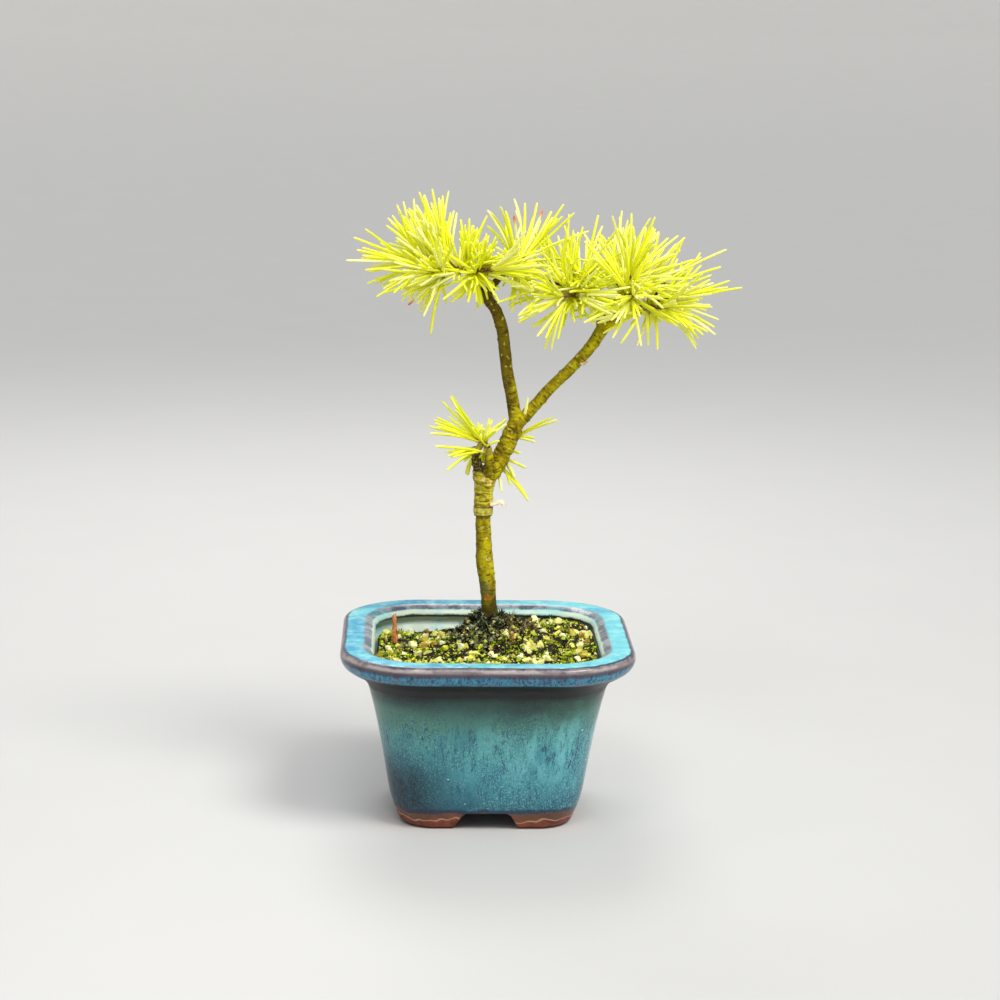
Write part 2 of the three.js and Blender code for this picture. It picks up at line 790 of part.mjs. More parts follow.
function tapeSolid() {
  const ridged = [];
  for (let i = 0; i + 1 < TAPE.length; i++)
    for (const share of [0, 0.5]) {
      const station = TAPE[i].map((value, axis) => mix(value, TAPE[i + 1][axis], share));
      ridged.push(station);
      station[3] += share ? -0.12 : 0.12;
    }
  ridged.push(TAPE.at(-1));
  const tail = limb(TAPE_TAIL, 6, 6, 0.3);
  return join([limb(ridged, 14, 8), tail]).subtract(limb(grown(STEM, GAP), 12, 30, 0.5));
}

// The whole bonsai

const glaze = new THREE.MeshStandardMaterial({ color: "#3f9aa6", roughness: 0.22 });
const plastic = new THREE.MeshStandardMaterial({ color: "#1d1f1e", roughness: 0.6 });
const earth = new THREE.MeshStandardMaterial({ color: "#6f7033", roughness: 0.95 });
const moss = new THREE.MeshStandardMaterial({ color: "#2b3022", roughness: 1 });
const bark = new THREE.MeshStandardMaterial({ color: "#8d8425", roughness: 0.8 });
const tape = new THREE.MeshStandardMaterial({ color: "#b5ab45", roughness: 0.5 });
const leaf = new THREE.MeshStandardMaterial({ color: "#d6e23a", roughness: 0.45 });

const bonsai = new THREE.Group();

function addMesh(name, geometry, material) {
  const mesh = new THREE.Mesh(geometry, material);
  mesh.name = name;
  bonsai.add(mesh);
  return mesh;
}

const stemHole = limb(grown(STEM.slice(0, 5), GAP), 14, 14);
const stemHoleFloor = new THREE.CylinderGeometry(2.5, 2.5, 1, 14);
stemHoleFloor.rotateX(Math.PI / 2).translate(STEM[0][0], STEM[0][1], STEM[0][2] - 0.2);
const hole = join([stemHole, solidOf(stemHoleFloor)]);

addMesh("pot", geometryOf(potSolid()), glaze);
addMesh("drain_mesh", geometryOf(drainMeshSolid()), plastic);
addMesh("soil", geometryOf(soilSolid(hole)), earth);
addMesh("moss_collar", geometryOf(mossSolid(hole)), moss);
const wood = woodSolid();
addMesh("wood", geometryOf(wood), bark);
addMesh("grafting_tape", geometryOf(tapeSolid()), tape);

const limbs = [STEM, STUB, SPUR, STEM_SPUR, LEFT_BRANCH, RIGHT_BRANCH, CENTRE_TWIG, INNER_ARM, CROWN_ARM, OUTER_ARM];
const woods = woodPieces(limbs);
SPRAYS.forEach((spray, index) =>
  shootsOf(spray).forEach(({ from, to, thick }, s) =>
    woods.push({ a: from, b: to, radius: thick, spray: index, shoot: `${index}.${s}` }),
  ),
);
const needles = [];
const earlier = [wood];
SPRAYS.forEach((spray, index) => {
  const fascicles = growSpray(spray, index, needles, woods, earlier);
  const solid = spraySolid(spray, fascicles);
  earlier.push(solid);
  addMesh(spray.name, geometryOf(solid), leaf);
});

const root = new THREE.Group();
root.add(bonsai);
const box = new THREE.Box3().setFromObject(bonsai);
bonsai.position.set(-(box.min.x + box.max.x) / 2, -(box.min.y + box.max.y) / 2, -box.min.z);

export default root;
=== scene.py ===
"""Dresses a small grafted white pine bonsai in its square glazed pot.

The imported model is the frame. Every piece is made in metres in its place, from the
sizes in millimetres below. Each operator makes one piece or one group of like pieces.
"""

import math
import random

import bmesh
import bpy
import numpy as np
from mathutils import Matrix, Vector, noise
from mathutils.kdtree import KDTree


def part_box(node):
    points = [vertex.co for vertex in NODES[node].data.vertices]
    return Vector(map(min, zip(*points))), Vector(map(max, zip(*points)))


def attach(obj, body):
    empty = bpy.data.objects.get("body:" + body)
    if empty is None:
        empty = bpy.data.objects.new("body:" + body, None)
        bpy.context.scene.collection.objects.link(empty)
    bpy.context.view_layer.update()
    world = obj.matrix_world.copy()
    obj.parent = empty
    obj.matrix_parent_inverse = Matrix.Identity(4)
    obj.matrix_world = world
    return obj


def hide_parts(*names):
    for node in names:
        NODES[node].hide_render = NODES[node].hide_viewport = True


bl_info = {
    "name": "White Pine Bonsai",
    "version": (1, 0, 0),
    "blender": (4, 5, 0),
    "location": "3D View > Sidebar > Bonsai",
    "description": "Builds a small white pine bonsai in a glazed pot",
    "category": "Object",
}

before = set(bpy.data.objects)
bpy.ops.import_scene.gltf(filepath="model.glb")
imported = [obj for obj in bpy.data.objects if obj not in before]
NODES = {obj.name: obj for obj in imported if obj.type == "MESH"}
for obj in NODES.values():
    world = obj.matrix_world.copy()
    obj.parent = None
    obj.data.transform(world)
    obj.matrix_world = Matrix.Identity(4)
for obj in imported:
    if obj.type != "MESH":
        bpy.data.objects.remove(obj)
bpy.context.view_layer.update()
POT_LOW, POT_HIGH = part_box("pot")
MM = 0.001
POT_MIDDLE = Vector(((POT_LOW[0] + POT_HIGH[0]) / 2, (POT_LOW[1] + POT_HIGH[1]) / 2, 0.0))
TALL = (POT_HIGH[2] - POT_LOW[2]) / MM  # the pot's height in millimetres

# Pot profile: half width and height in millimetres, from the foot over the rim to the floor.
RIM_HALF = 45.0
RIM_CORNER = 25.0
CORNER_POWER = 1.6
FLOOR_TOP = 9.6
OUTER_WALL = [
    (25.2, 0), (26.5, 0.9), (27.7, 3.6), (29.5, 9), (31.1, 18), (33, 29), (34.8, 37.5),
    (35.7, TALL - 14.5), (36.6, TALL - 11.2), (38.4, TALL - 8.8), (41.4, TALL - 6.9),
    (43.8, TALL - 5.2), (44.8, TALL - 3.4), (45, TALL - 2), (44.7, TALL - 0.8), (43.8, TALL - 0.1),
]
RIM_TOP = [(40.8, TALL), (38, TALL - 0.1), (36.5, TALL - 0.7)]
INNER_WALL = [
    (35.2, TALL - 1.7), (34.6, TALL - 3), (35, TALL - 3.7), (37.2, TALL - 4.2), (37.3, TALL - 5.2),
    (35.9, TALL - 7.8), (33.4, TALL - 10.8), (31.8, TALL - 14), (29.8, 28), (27.6, 15), (26.4, 11),
    (24, FLOOR_TOP),
]
# Half widths under the pot: of the recess between its feet, low and high, and of the top of a notch.
RECESS = (21, 20)
NOTCH_TOP = 7.0

# Soil and moss, in millimetres
SOIL_GAP = 0.3
SOIL_WALL = [(24, FLOOR_TOP + 1.4), (26.8, 15), (29.2, 28), (31.2, TALL - 14), (32.4, TALL - 11)]
GROUND_RINGS = 30
TRUNK_XY = (1.8, 8.0)
MOUND_TALL = 7.2
MOUND_REACH = 12.5
MOSS_OUTER = 12.0
SPLINTER_XY = (-28.3, 11.8)

# How densely the small things lie: crumbs for each stone, cushions for each tuft, and the others on a
# square metre.
CRUMBS_A_STONE = 2.1
CUSHIONS_A_TUFT = 0.34
FIBRE_DENSITY = 1700000.0
STRAND_DENSITY = 1900000.0
RIM_MOSS_DENSITY = 700000.0
RIM_GRIT_DENSITY = 360000.0

# Larger stones on the soil: x, y, half length, proportions and tone, which picks the colour.
STONES = [
    (32.3, 9.5, 2.3, (0.7, 1, 0.75), 0.62), (16.7, 32.0, 2.3, (1, 0.5, 0.5), 0.2),
    (-7.8, -4.2, 1.7, (0.8, 1, 0.75), 0.2), (-4.3, -11.8, 2.1, (1, 0.6, 0.6), 0.0),
    (12.5, -13, 1.7, (1, 0.85, 0.7), 0.62), (17.6, -19.8, 1.5, (1, 0.9, 0.7), 0.1),
    (-23.6, 24.8, 1.9, (1, 0.8, 0.8), 0.2), (-22.9, 6.2, 2.0, (0.75, 1, 0.7), 0.1),
    (-15.5, 26, 1.5, (1, 0.9, 0.8), 0.0), (18.1, 9.2, 1.8, (1, 0.7, 0.7), 0.22),
    (29.1, -6, 1.7, (0.8, 1, 0.9), 0.15), (-30.7, 5, 1.2, (1, 0.9, 0.8), 0.3),
    (9.4, -19.5, 1.2, (1, 0.8, 0.8), 0.2), (1.2, -12.5, 1.2, (1, 0.9, 0.8), 0.1),
    (-12.8, -2.8, 1.6, (1, 0.8, 0.7), 0.5), (24.3, 6.8, 1.5, (0.8, 1, 0.8), 0.2),
    (-18.4, 31.2, 1.2, (1, 0.9, 0.9), 0.95), (-18, -22, 1.6, (1, 0.8, 0.7), 0.6),
    (24, 25, 1.8, (1, 0.7, 0.8), 0.05), (-27, -16, 1.4, (0.9, 1, 0.8), 0.3),
    (5, 29, 1.5, (1, 0.8, 0.8), 0.55),
]

# Wood: x, y, z and radius of each limb's stations, in millimetres about the pot's axis.
STEM = [
    (1.7, 8, 52, 2.6), (1.4, 8, 59, 2.7), (0.95, 8, 62.6, 2.4), (0.5, 8, 68.4, 2.45), (-0.5, 8, 75.8, 2.65),
    (-1, 8, 83.2, 2.45), (-1.3, 8, 90.5, 2.3), (-1.2, 8, 97.8, 2.3), (-0.6, 8, 102.9, 2.9),
    (1.8, 8, 106, 3), (4.5, 8, 110.8, 2.75), (7.3, 8, 117.2, 2.75), (9.1, 8, 121.5, 2.3),
]
STUB = [(-1, 8, 101.8, 1.3), (-2.9, 8, 105.4, 1.6), (-3.6, 8, 109.2, 1.5), (-3.8, 8, 112.8, 1.2)]
SPUR = [(1.6, 6.8, 105, 1.4), (0.6, 4.4, 108.2, 1.4), (0, 3.4, 111.4, 1.3)]
BUD = [
    (11.3, 6.9, 123.4, 0.7), (11.5, 6.6, 124.8, 0.55), (11.8, 6.5, 126.6, 0.45), (12, 6.5, 128.2, 0.36),
    (12.05, 6.5, 128.7, 0.15),
]
STEM_SPUR = [(3.2, 9, 104.6, 1.2), (3.6, 10.5, 105.4, 0.8)]  # behind the stem
LEFT_BRANCH = [
    (8.6, 8, 119.6, 2.1), (7.5, 8, 126.7, 1.95), (6.5, 8, 131.6, 1.9), (5.4, 8, 137.5, 1.85),
    (4.6, 8, 144, 1.85), (3.6, 8, 150.5, 1.8), (1.6, 7.8, 155.6, 1.75), (-1.3, 7.4, 159.6, 1.6),
    (-4.2, 7, 164.2, 1.4),
]
RIGHT_BRANCH = [
    (9.2, 8, 120.4, 2.15), (12.7, 8, 124.1, 1.85), (18.9, 8, 131.3, 1.75), (25.3, 8, 137.7, 1.75),
    (31.2, 8, 144.4, 1.85), (34.8, 8, 150.2, 1.95),
]
CENTRE_TWIG = [(-0.9, 7.5, 159, 1.3), (0.3, 7.6, 162.4, 1.2), (2.4, 7.6, 165.2, 1.1)]
INNER_ARM = [(34.4, 8, 149.6, 1.7), (34.2, 7.8, 154, 1.5), (32.6, 7.5, 157.8, 1.35)]
CROWN_ARM = [(34.4, 8, 149.6, 1.7), (38.4, 7.8, 152.8, 1.5), (40.6, 7.2, 158.4, 1.3)]
OUTER_ARM = [(37.2, 8, 151.8, 1.4), (41, 8, 153.8, 1.35), (44.4, 8, 155.8, 1.25)]
LIMBS = {
    "stem": STEM, "stub": STUB, "spur": SPUR, "stem_spur": STEM_SPUR, "left": LEFT_BRANCH,
    "right": RIGHT_BRANCH, "centre": CENTRE_TWIG, "inner": INNER_ARM, "crown": CROWN_ARM, "outer": OUTER_ARM,
}
LIMB_SIDES = 36
LIMB_STEP = 0.22

SCAR = (0.3, 5.6, 65.2)  # a small orange scar low on the stem

# Grafting tape: x, z and outer radius along the union. Its top lip laps the foot of the stub.
TAPE = [
    (-1.3, 91, 2.85), (-1.27, 94, 2.95), (-1.2, 97.8, 2.95), (-0.95, 100.2, 3.15), (-0.9, 102.1, 3.5),
    (-1.6, 103.6, 3.15), (-2.7, 105.2, 2.1),
]
TAPE_BAND = (91.6, 93.8)  # the lowest turn, from and to
TAPE_TAIL = [(1, 6.2, 94.9), (2.4, 5.6, 95.3), (3.6, 5.4, 95.9), (4.4, 5.3, 95.8), (5.3, 5.2, 94.7)]

# Sprays: the limb each grows from, its knot, the tips of its shoots with where they leave the first one,
# and how many needles are added for each modelled one.
SPRAYS = {
    "needles_left": (
        LEFT_BRANCH, (-6.2, 6.6, 167.4),
        [((-22.5, 5.4, 170), 0), ((-17, -8, 168.4), 0.12), ((-18.5, 18, 170.2), 0.2),
         ((-14, 7, 172.4), 0.34), ((-0.5, -2, 169), 0)],
        1.3,
    ),
    "needles_centre": (CENTRE_TWIG, (4.4, 7.6, 167.2), [((10.2, 8, 171.4), 0), ((6, 16, 169.6), 0.1)], 0.5),
    "needles_right_inner": (
        INNER_ARM, (30.6, 7.2, 160.4),
        [((19, 3.5, 164.4), 0), ((25, 18, 163.8), 0.1), ((21.5, -6.5, 161.8), 0.18), ((27.6, 9, 167), 0)],
        1.2,
    ),
    "needles_right_crown": (
        CROWN_ARM, (41, 6.8, 160.4),
        [((42, 4, 166), 0), ((47, 11.5, 164.6), 0), ((42.6, -8, 162.4), 0), ((38.6, 18, 164), 0)],
        1.0,
    ),
    "needles_right_outer": (
        OUTER_ARM, (46.4, 7.9, 156.8),
        [((56, 5.4, 160), 0), ((51, -6.5, 158.6), 0.08), ((52.4, 18.5, 159.6), 0.1),
         ((52.6, 9, 163.4), 0.14)],
        1.1,
    ),
    "needles_low": (SPUR, (0, 2.8, 113.6), [((-2.8, 1.8, 115.8), 0)], 0.25),
    "needles_stem": (STEM_SPUR, (4, 10.7, 106.2), [((7.6, 10.9, 114.6), 0)], 0.0),
}
# The two low sprays hold their needles in bundles, in x and z as they show from the front: the tip of each
# bundle of the low whorl, and where each one beside the stem comes out from behind it and ends.
LOW_BUNDLES = [
    (-12, 128.8), (-17.4, 121.9), (-18.4, 118.9), (-16.6, 119.9), (-16, 117.6), (-17.6, 115.6),
    (-15.2, 115.8), (-13.5, 112.2), (-11.5, 110.2), (-14.1, 107.3), (-7.1, 107.3), (-6.3, 103.4),
    (-1.9, 120.4), (0.7, 122.4), (4.9, 123.8), (5.7, 122.3), (2.2, 120), (3.4, 116.8),
]
STEM_BUNDLES = [
    (4.3, 105.3, 12.6, 97.1), (3.2, 103.3, 4.3, 98.8), (4.6, 105.6, 7.1, 100.6), (5.5, 107, 8.3, 103.4),
    (6, 108, 11.8, 106.6), (7.1, 110.9, 9.8, 111.3), (9.2, 115.1, 14.4, 115.5), (9.2, 115.3, 21, 121.6),
    (9.2, 115.6, 19.8, 122.7),
]
# Young needles: the bud they grow round, how many, the way they face, how closely, and their lengths.
YOUNG = {
    "needles_left": [
        ((-5.4, 4.2, 167.0), 64, (0.8, -0.5, -0.2), -0.2, (5.5, 11)),
        ((-7, 6, 168.6), 16, (-0.05, -0.1, 1), 0.86, (10, 17)),
        ((-3.6, 5.4, 168), 16, (0.35, -0.2, 0.9), 0.7, (6, 12)),
        ((-9.6, 5, 168), 14, (-0.3, -0.8, 0.5), 0.2, (7, 13)),
    ],
    "needles_centre": [
        ((6.4, 6.5, 168.4), 26, (0.2, -0.6, 0.2), -0.2, (5, 9)),
        ((8, 6, 167.6), 14, (0.5, -0.5, -0.6), 0.5, (6, 12)),
    ],
    "needles_right_inner": [
        ((31.5, 5.5, 160), 26, (0, -0.8, -0.4), -0.2, (5, 9)),
        ((28.6, 5, 161.4), 26, (-0.2, -0.7, 0.5), 0.2, (8, 14)),
        ((25.6, 4.6, 161.4), 18, (-0.6, -0.6, -0.3), 0.4, (8, 15)),
        ((28.4, 6, 165), 18, (0.1, -0.6, 0.8), 0.3, (7, 13)),
    ],
    "needles_right_crown": [((41.2, 4.5, 161.5), 44, (0.2, -0.9, -0.1), -0.2, (5, 10))],
    "needles_right_outer": [((48.6, 6, 157.4), 26, (0.3, -0.8, -0.3), -0.2, (5, 9))],
    "needles_low": [
        ((-0.9, 5.4, 112.4), 9, (-0.12, 0.7, -0.7), 0.94, (4, 6.5)),
        ((-1.1, 5.8, 110.6), 6, (-0.05, 0.7, -0.7), 0.94, (3, 4.5)),
    ],
}
# Where the tips of the few scorched needles show, in x and z.
SCORCHED = {"needles_left": [(-24.7, 155.2)], "needles_centre": [(17, 186.7), (7.2, 186.7)]}
# Half thickness of a needle by share of its length, and of a bud by how far past the shoot's tip it is.
NEEDLE_GIRTHS = [
    (0, 0.3), (0.12, 0.38), (0.35, 0.42), (0.6, 0.43), (0.8, 0.42), (0.93, 0.37), (0.985, 0.28), (1, 0.14),
]
BUD_GIRTHS = [(-0.4, 0.6), (0.4, 0.85), (1.3, 0.7), (2.2, 0.2)]
# What tells a modelled needle in its solid: the widths of its three sides and the length of its point.
NEEDLE_SIDE = (0.75, 1.05)
NEEDLE_POINT = (1.5, 4.6)
FEWEST_NEEDLES = 8
# The low whorl's middle in x and z, and where the needles behind its stub start.
LOW_MIDDLE = (0.3, 113.8)
BEHIND_STUB = (-3.9, 9.3, 110.5)

# The photograph's camera, in millimetres about the pot's axis.
CAMERA_AT = (-24.4, -775.7, 249.6)
CAMERA_AIM = (3.96, 8.85, 95.78)
CAMERA_LENS = 92.2
CAMERA_ROLL = 0.88
# Lights: the setting that gives the strength, kind, place in millimetres and the lamp's own settings.
LIGHT_AIM = (5, 5, 95)
LIGHTS = {
    "sun": ("sun_strength", "SUN", (360, -330, 760), {"color": (1.0, 0.985, 0.95), "angle": 0.4}),
    "key": ("key_power", "AREA", (140, -500, 620), {"shape": "RECTANGLE", "size": 1.1, "size_y": 0.26}),
    "fill": ("fill_power", "AREA", (-60, -240, 430), {"shape": "DISK", "size": 0.16}),
    "back": ("back_power", "AREA", (-80, 540, 620), {"shape": "DISK", "size": 0.4}),
}
SKY_COLOUR = (0.9, 0.95, 1.0, 1.0)

# Radius and height of the floor's rings, which rise far away from the pot.
FLOOR_PROFILE = [(5000, 0), (6500, 160), (7800, 700), (8800, 1600), (9400, 2600), (9700, 4200)]
FLOOR_SPOKES = 48


# Colour and shader helpers


def tint(code):
    """A web colour such as #3fb8c4 as the linear colour that shaders take."""
    parts = [int(code[i : i + 2], 16) / 255 for i in (1, 3, 5)]
    return (*[p / 12.92 if p <= 0.04045 else ((p + 0.055) / 1.055) ** 2.4 for p in parts], 1.0)


class Wire:
    """One output socket. A sum on it, written as a Python expression, adds a Math node."""

    def __init__(self, paint, socket):
        self.paint = paint
        self.socket = socket

    def __add__(self, other):
        return self.paint.sum("ADD", self, other)

    def __sub__(self, other):
        return self.paint.sum("SUBTRACT", self, other)

    def __rsub__(self, other):
        return self.paint.sum("SUBTRACT", other, self)

    def __mul__(self, other):
        return self.paint.sum("MULTIPLY", self, other)

    def __truediv__(self, other):
        return self.paint.sum("DIVIDE", self, other)

    __radd__ = __add__
    __rmul__ = __mul__

    def step(self, low, high):
        """0 below low and 1 above high, and smooth between them."""
        kind = {"interpolation_type": "SMOOTHSTEP"}
        return self.paint.node("ShaderNodeMapRange", kind, {"Value": self, "From Min": low, "From Max": high})

    def band(self, low, high, soft):
        """1 from low to high, with smooth edges that reach soft to both sides."""
        return self.step(low - soft, low + soft) * (1 - self.step(high - soft, high + soft))


class Paint:
    """A material and the nodes that are added to it."""

    def __init__(self, name):
        self.material = bpy.data.materials.new(name)
        self.material.use_nodes = True
        self.tree = self.material.node_tree
        self.tree.nodes.clear()

    def node(self, kind, settings=None, inputs=None, out=0):
        """Adds a node, sets its settings, then the values or links of its sockets."""
        node = self.tree.nodes.new(kind)
        for key, value in (settings or {}).items():
            if key == "stops":
                self.set_stops(node.color_ramp, value)
            else:
                setattr(node, key, value)
        pairs = inputs.items() if isinstance(inputs, dict) else enumerate(inputs or [])
        for key, value in pairs:
            if isinstance(value, Wire):
                self.tree.links.new(value.socket, node.inputs[key])
            elif value is not None:
                node.inputs[key].default_value = value
        return Wire(self, node.outputs[out]) if node.outputs else None

    def set_stops(self, ramp, stops):
        ramp.elements[0].position = stops[0][0]
        ramp.elements[1].position = stops[-1][0]
        for at, _ in stops[1:-1]:
            ramp.elements.new(at)
        for element, (_, code) in zip(ramp.elements, stops):
            element.color = tint(code)

    def sum(self, operation, first, second):
        return self.node("ShaderNodeMath", {"operation": operation}, [first, second])

    def place(self):
        """Object coordinates in millimetres about the pot's axis."""
        spot = self.node("ShaderNodeTexCoord", out="Object")
        moved = self.node("ShaderNodeVectorMath", {"operation": "SUBTRACT"}, [spot, POT_MIDDLE])
        return self.scale(moved, (1 / MM, 1 / MM, 1 / MM))

    def scale(self, vector, factors):
        return self.node("ShaderNodeVectorMath", {"operation": "MULTIPLY"}, [vector, factors])

    def axis(self, vector, index):
        return self.node("ShaderNodeSeparateXYZ", None, [vector], index)

    def tag(self, name):
        """A number stored on the mesh."""
        return self.node("ShaderNodeAttribute", {"attribute_name": name}, out="Fac")

    def grain(self, vector, size, detail=3.0, rough=0.55, bend=0.0):
        """Noise from 0 to 1 with features of that size in millimetres."""
        shape = {"Detail": detail, "Roughness": rough, "Distortion": bend}
        return self.node("ShaderNodeTexNoise", None, {"Vector": vector, "Scale": 1 / size, **shape})

    def dots(self, vector, size):
        """Distance to scattered points, that far apart in millimetres."""
        return self.node("ShaderNodeTexVoronoi", None, {"Vector": vector, "Scale": 1 / size})

    def blend(self, mask, first, second):
        """The first colour where mask is 0 and the second where it is 1."""
        first, second = (tint(c) if isinstance(c, str) else c for c in (first, second))
        # By number, because the Mix node's sockets for numbers and for colours share their names
        return self.node("ShaderNodeMix", {"data_type": "RGBA"}, {0: mask, 6: first, 7: second}, 2)

    def coats(self, colour, *coats):
        """A colour under coats of other colours, each with the mask that says where it lies."""
        for mask, coat in coats:
            colour = self.blend(mask, colour, coat)
        return colour

    def ramp(self, value, stops):
        return self.node("ShaderNodeValToRGB", {"stops": stops}, [value])

    def finish(self, colour, roughness, relief=None, depth=0.0, **constants):
        """The finished material. Its relief, from 0 to 1, is that deep in millimetres."""
        inputs = {"Base Color": colour, "Roughness": roughness}
        if relief:
            height = {"Strength": 1.0, "Distance": depth * MM, "Height": relief}
            inputs["Normal"] = self.node("ShaderNodeBump", None, height)
        inputs.update({name.replace("_", " "): value for name, value in constants.items()})
        shader = self.node("ShaderNodeBsdfPrincipled", None, inputs)
        self.node("ShaderNodeOutputMaterial", None, [shader])
        return self.material


# Mesh helpers


def settings_of(name):
    return getattr(bpy.context.scene, "bonsai_" + name)


def add_object(name, data):
    piece = bpy.data.objects.new(name, data)
    bpy.context.scene.collection.objects.link(piece)
    return piece


def drop(piece):
    bpy.data.objects.remove(piece)


def tag_points(mesh, **tags):
    """Stores one number a point under each name, for the materials and the trees to read."""
    for key, values in tags.items():
        mesh.attributes.new(key, "FLOAT", "POINT").data.foreach_set("value", values)


def make_mesh(name, points, faces, edges=(), **tags):
    """A mesh from points in millimetres about the pot's axis."""
    mesh = bpy.data.meshes.new(name)
    mesh.from_pydata([POT_MIDDLE + Vector(p) * MM for p in points], edges, faces)
    tag_points(mesh, **tags)
    mesh.update()
    return mesh


def mesh_of(name, solid):
    """The mesh of a finished bmesh."""
    mesh = bpy.data.meshes.new(name)
    solid.to_mesh(mesh)
    solid.free()
    return mesh


def joined(name, parts):
    """One mesh of all the parts, which are removed."""
    whole = bmesh.new()
    for part in parts:
        whole.from_mesh(part.data)
        drop(part)
    return mesh_of(name, whole)


def shade(piece, angle=180):
    """Smooth shading, with edges sharper than the angle left crisp."""
    piece.data.shade_smooth()
    if angle < 180:
        piece.data.set_sharp_from_angle(angle=math.radians(angle))


def dress(piece, material, slot, *nodes):
    """Gives a piece its material and puts it on the plant's body, in place of the CAD nodes named."""
    piece.data.materials.clear()
    piece.data.materials.append(material)
    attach(piece, "root")
    if nodes:
        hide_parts(*nodes)


def make_piece(name, surface, material, slot, *nodes, angle=180, **tags):
    """A smooth finished piece from the points and faces of its surface."""
    piece = add_object(name, make_mesh(name, *surface, **tags))
    shade(piece, angle)
    dress(piece, material, slot, *nodes)
    return piece


def bake_modifiers(piece):
    """Makes the piece's modified shape its plain mesh."""
    graph = bpy.context.evaluated_depsgraph_get()
    mesh = bpy.data.meshes.new_from_object(piece.evaluated_get(graph))
    piece.modifiers.clear()
    piece.data = mesh


def angles(count):
    """That many angles, evenly round a turn."""
    return [math.tau * i / count for i in range(count)]


def stray(chance, size):
    """A random step in any direction."""
    return Vector([chance.gauss(0, size) for _ in range(3)])


def ring_faces(rings, count, closed=False):
    """Faces between rings of count points. Closed joins the last ring to the first."""
    faces = []
    for r in range(rings if closed else rings - 1):
        low, high = r * count, (r + 1) % rings * count
        for i in range(count):
            j = (i + 1) % count
            faces.append((low + i, low + j, high + j, high + i))
    return faces


def skin(rings, first, last):
    """Points and faces of a surface over rings of points, closed on a point at each end."""
    count = len(rings[0])
    points = [p for ring in rings for p in ring] + [first, last]
    faces = ring_faces(len(rings), count)
    foot, top = len(rings) * count, (len(rings) - 1) * count
    for i in range(count):
        j = (i + 1) % count
        faces += [(foot, j, i), (foot + 1, top + i, top + j)]
    return points, faces


def smooth_line(points, per):
    """A smooth line through points, with that many steps between each two."""
    points = [Vector(p) for p in points]
    line = []
    last = len(points) - 1
    for k in range(last):
        p1, p2 = points[k], points[k + 1]
        p0 = points[k - 1] if k else p1 * 2 - p2
        p3 = points[k + 2] if k + 2 <= last else p2 * 2 - p1
        before, here, after = (max((b - a).length ** 0.5, 1e-4) for a, b in ((p0, p1), (p1, p2), (p2, p3)))
        rise = ((p1 - p0) / before - (p2 - p0) / (before + here) + (p2 - p1) / here) * here
        fall = ((p2 - p1) / here - (p3 - p1) / (here + after) + (p3 - p2) / after) * here
        cubic = (p1 - p2) * 2 + rise + fall
        square = (p2 - p1) * 3 - rise * 2 - fall
        for i in range(per):
            t = i / per
            line.append(p1 + rise * t + square * t * t + cubic * t**3)
    return line + [points[-1]]


def lengths_along(line):
    """How far along a line each of its points lies."""
    lengths = [0.0]
    for a, b in zip(line, line[1:]):
        lengths.append(lengths[-1] + (b.xyz - a.xyz).length)
    return lengths


class Growth:
    """A Geometry Nodes tree and the nodes that are added to it."""

    def __init__(self, name, **inputs):
        self.tree = bpy.data.node_groups.new(name, "GeometryNodeTree")
        for label, kind in {"Geometry": "Geometry", **inputs}.items():
            self.tree.interface.new_socket(label, in_out="INPUT", socket_type="NodeSocket" + kind)
        self.tree.interface.new_socket("Geometry", in_out="OUTPUT", socket_type="NodeSocketGeometry")
        self.entry = self.tree.nodes.new("NodeGroupInput")

    def __getitem__(self, label):
        return self.entry.outputs[label]

    def node(self, kind, settings=None, inputs=None, out=0):
        node = self.tree.nodes.new(kind)
        for key, value in (settings or {}).items():
            setattr(node, key, value)
        for key, value in (inputs or {}).items():
            if isinstance(value, bpy.types.NodeSocket):
                self.tree.links.new(value, node.inputs[key])
            else:
                node.inputs[key].default_value = value
        return node.outputs[out]

    def tag(self, name):
        """A number stored on what the tree is given."""
        return self.node("GeometryNodeInputNamedAttribute", {"data_type": "FLOAT"}, {"Name": name})

    def finish(self, geometry):
        real = self.node("GeometryNodeRealizeInstances", None, {"Geometry": geometry})
        done = self.node("GeometryNodeSetMaterial", None, {"Geometry": real, "Material": self["Material"]})
        end = self.tree.nodes.new("NodeGroupOutput")
        self.tree.links.new(done, end.inputs[0])
        return self

    def grow(self, piece, **values):
        """Runs the tree on a piece and makes the result its mesh."""
        modifier = piece.modifiers.new("Growth", "NODES")
        modifier.node_group = self.tree
        for item in self.tree.interface.items_tree:
            if item.in_out == "INPUT" and item.name in values:
                modifier[item.identifier] = values[item.name]
        bpy.context.view_layer.update()
        bake_modifiers(piece)
        return piece


def strand_tree():
    """Turns each line of points into a round strand, as thick as its girth tag says."""
    growth = Growth("Strands", Sides="Int", Material="Material")
    curve = growth.node("GeometryNodeMeshToCurve", None, {"Mesh": growth["Geometry"]})
    circle = {"Resolution": growth["Sides"], "Radius": 1.0}
    profile = growth.node("GeometryNodeCurvePrimitiveCircle", None, circle)
    inputs = {"Curve": curve, "Profile Curve": profile, "Scale": growth.tag("girth"), "Fill Caps": True}
    return growth.finish(growth.node("GeometryNodeCurveToMesh", None, inputs))


